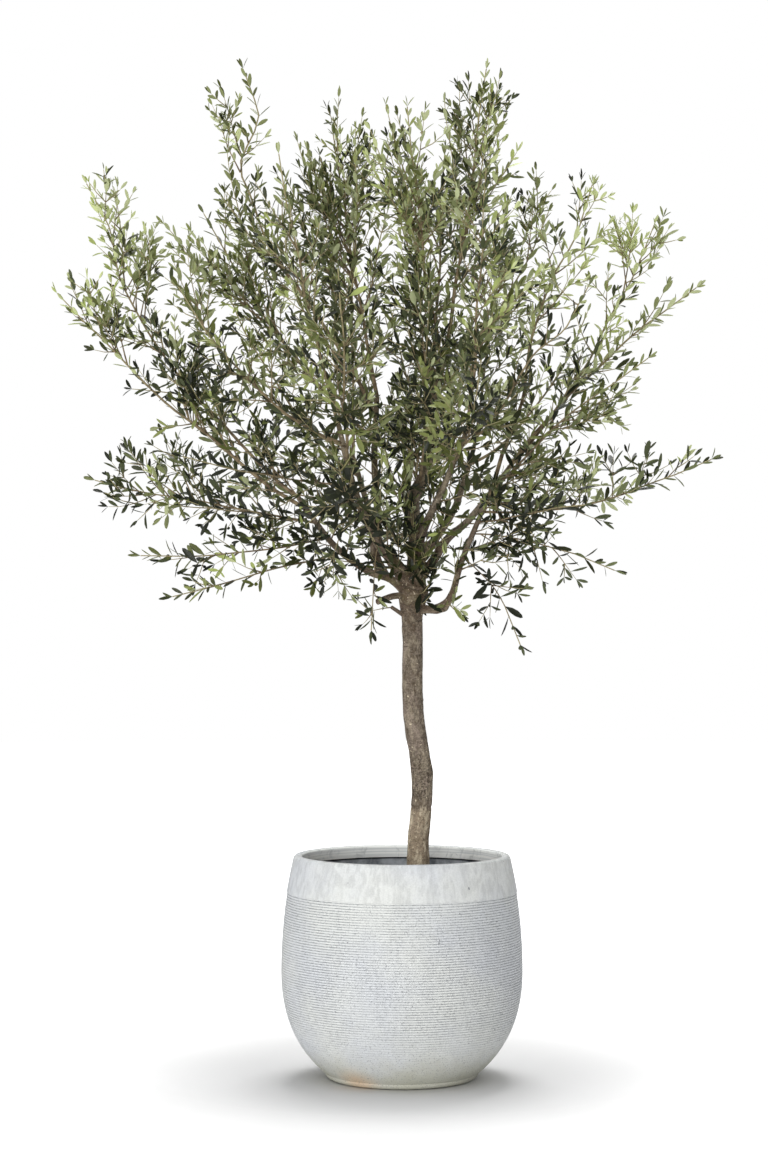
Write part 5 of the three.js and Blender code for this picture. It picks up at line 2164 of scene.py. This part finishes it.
    def add_leaves(self, line: Line, start: float, turn: float, tint: Tint, dice: Dice,
                   size: float = 1.0) -> None:
        """Sets opposite pairs of leaves along a twig, each a quarter turn from the last.

        Args:
            line: The twig's middle line.
            start: The share of its length where the leaves start.
            turn: The turn of the first pair.
            tint: The tint of its leaves.
            dice: The dice for their play.
            size: How large its leaves are.
        """
        high = smooth(*self.low_crown, line.at(1.0)[2])
        pitch = mix(self.low_pitch, self.high_pitch, high)
        pairs = max(1, round((1 - start) * line.length / pitch))
        for pair in range(pairs + 1):
            tipward = pair / pairs
            share = mix(start, 1.0, tipward)
            axis = line.tangent(share)
            across = square_to(axis)
            angle = mix(*(mix(*pair, high) for pair in zip(self.low_angles, self.high_angles)), tipward)
            grown = size * mix(self.first_leaf, 1.0, smooth(0, 0.3, tipward))
            grown *= mix(1.0, self.tip_length, smooth(0.6, 1.0, tipward))
            for opposite in (0.0, math.pi):
                if dice.next() < self.missing_leaf:
                    continue
                leaf_turn = turn + pair * QUARTER_TURN + opposite + dice.play(self.leaf_turn_play)
                way = leaning(axis, across, angle + dice.play(self.leaf_angle_play), leaf_turn)
                rise = dice.between(*self.leaf_rise) + mix(self.low_rise, 0.0, high)
                way = unit(way + UP * rise)
                self.add_leaf(line.at(share), axis, way, grown, tint, dice)
        way = unit(line.tangent(1.0) + UP * 0.05)
        self.add_leaf(line.at(1.0), square_to(way) - UP * 0.4, way, size * self.tip_length, tint, dice)

    def add_leaf(self, start: Array, axis: Array, way: Array, size: float, tint: Tint,
                 dice: Dice) -> None:
        """Adds a leaf that faces the tip of its twig and the sky.

        Args:
            start: Where it grows from.
            axis: The way the twig runs there.
            way: The way the leaf points.
            size: How large it is, where 1 is full size.
            tint: Its tint.
            dice: The dice for its play.
        """
        high = smooth(*self.low_crown, start[2])
        long, wide = (mix(*pair, high) for pair in zip(self.low_leaf, self.high_leaf))
        length = long * size * dice.between(*self.leaf_length_play)
        half = length * wide / 2 * dice.between(*self.leaf_width_play)
        facing = unit(axis - way * (axis @ way))
        facing = facing + UP * self.leaf_lift + unit(np.cross(way, facing)) * dice.play(self.leaf_roll)
        bend = (dice.between(*self.leaf_fold), dice.between(*self.leaf_curl))
        self.leafage[tint].add(start, way, facing, (length, half), bend)

    def grow_sprouts(self) -> None:
        """Grows short leafy sprouts straight from the outer halves of the boughs."""
        outer = self.sprouting_share
        for number, bough in enumerate(BOUGHS):
            line = self.wood.limbs[bough.name].line
            sprouts = math.floor(line.length * outer / self.sprout_pitch)
            for sprout in range(sprouts):
                dice = Dice(SPROUT_SEED + 100 * number + sprout)
                share = 1 - outer + outer * (sprout + dice.next()) / sprouts
                axis = line.tangent(share)
                way = leaning(axis, square_to(axis), self.sprout_angle, dice.between(0, 2 * math.pi))
                foot = line.at(share)
                tip = foot + unit(way + UP * self.sprout_lift) * dice.between(*self.sprout_length)
                self.leafy_twig(foot, tip, dice.between(0, math.pi), dice)


# Studio

@dataclass(frozen=True)
class Studio:
    """A white studio with soft light, and a level camera in front of the tree."""

    camera_place: Point = (-0.043, -6.85, 1.204)
    lens: float = 89.1
    sensor: float = 36.0
    light_aim: Point = (0.0, 0.0, 1.3)
    floor_radius: float = 14.0
    floor_sides: int = 96
    sky_top: float = 0.98
    sky_level: float = 0.05
    floor_shade: float = 0.755
    glow_middle: Point = (0.0, 0.17, 0.0)
    near_glow: Point = (0.33, 1.05, 0.52)
    far_glow: Point = (0.95, 2.8, 0.37)

    def build(self) -> None:
        """Sets up the camera, the floor, the lights and the surroundings."""
        self.add_camera()
        floor = self.add_floor()
        self.add_light("top", (0.2, 1.8, 5.8), size=2.5, power=232.0)
        key = self.add_light("key", (-3.9, -5.4, 1.5), size=2.5, power=126.0)
        front = self.add_light("front", (-1.5, -7.5, 1.3), size=2.4, power=244.0)
        self.keep_off(floor, [key, front])
        self.add_surroundings()
        bpy.context.scene.view_settings.view_transform = "Standard"

    def add_camera(self) -> None:
        """Adds the camera."""
        data = bpy.data.cameras.new("camera")
        data.lens = self.lens
        data.sensor_width = self.sensor
        camera = add_object("camera", data)
        camera.location = self.camera_place
        camera.rotation_euler = (QUARTER_TURN, 0.0, 0.0)
        bpy.context.scene.camera = camera

    def add_floor(self) -> bpy.types.Object:
        """Adds the white floor, which glows more the further it lies from the plant and so meets the
        backdrop unseen; the glow is painted light, and where it fades near the planter it deepens the
        shadow round the foot.

        Returns:
            The floor.
        """
        rim = ring_spokes(self.floor_sides) * self.floor_radius
        mesh = bpy.data.meshes.new("floor")
        mesh.from_pydata(rim.tolist(), [], [list(range(self.floor_sides))])
        board = Board("white_floor")
        board.surface.inputs["Emission Color"].default_value = WHITE
        seen = board.node("LightPath", {}).outputs["Is Camera Ray"]
        # Painted light: the glow, seen by the camera only, fades towards the planter and so deepens the
        # shadow round its foot.
        away = board.away(self.glow_middle)
        near, far = (
            board.ramp(away, start, end, 0.0, strength)
            for start, end, strength in (self.near_glow, self.far_glow)
        )
        glow = board.times(seen, board.sum("ADD", near, far))
        board.feed(board.surface.inputs["Emission Strength"], glow)
        shade = (self.floor_shade, self.floor_shade, self.floor_shade, 1.0)
        mesh.materials.append(board.finish(shade, 0.9, 0.0))
        floor = add_object("floor", mesh)
        return floor

    def keep_off(self, floor: bpy.types.Object, lamps: Iterable[bpy.types.Object]) -> None:
        """Keeps the light of some lamps off the floor, as flags do in a studio.

        Args:
            floor: The floor.
            lamps: The lamps.
        """
        shaded = bpy.data.collections.new("flagged")
        shaded.objects.link(floor)
        shaded.collection_objects[0].light_linking.link_state = "EXCLUDE"
        for lamp in lamps:
            lamp.light_linking.receiver_collection = shaded

    def add_light(self, name: str, place: Point, size: float, power: float) -> bpy.types.Object:
        """Adds a soft light that is aimed at the middle of the tree.

        Args:
            name: The light's name.
            place: Where it stands.
            size: How wide it is.
            power: Its power in watts.

        Returns:
            The lamp.
        """
        data = bpy.data.lights.new(name, "AREA")
        data.size = size
        data.energy = power
        lamp = add_object(name, data)
        lamp.location = place
        aim = Vector(self.light_aim) - lamp.location
        lamp.rotation_euler = aim.to_track_quat("-Z", "Y").to_euler()
        return lamp

    def add_surroundings(self) -> None:
        """Surrounds the studio with soft light from above, which looks plain white."""
        world = bpy.data.worlds.new("studio")
        bpy.context.scene.world = world
        world.use_nodes = True
        nodes = Nodes(world.node_tree)
        place = nodes.node("TexCoord", {}).outputs["Generated"]
        up = nodes.node("SeparateXYZ", {0: place}).outputs["Z"]
        level = nodes.node("MapRange", {0: up, 3: self.sky_level, 4: self.sky_top}).outputs[0]
        glow = nodes.tree.nodes["Background"]
        nodes.feed(glow.inputs["Color"], WHITE)
        nodes.feed(glow.inputs["Strength"], level)
        backdrop = nodes.node("Background", {"Color": WHITE}).outputs[0]
        seen = nodes.node("LightPath", {}).outputs["Is Camera Ray"]
        choice = nodes.node("MixShader", {0: seen, 1: glow.outputs[0], 2: backdrop}).outputs[0]
        nodes.feed(nodes.tree.nodes["World Output"].inputs[0], choice)


def main() -> None:
    """Builds the studio and then the tree, piece by piece."""
    logging.basicConfig(level=logging.INFO, format="%(name)s: %(message)s")
    Studio().build()
    planter = Planter()
    planter.build()
    Compost(planter).build()
    wood = Woodwork()
    wood.build()
    Crown(wood).build()


if __name__ == "__main__":
    main()
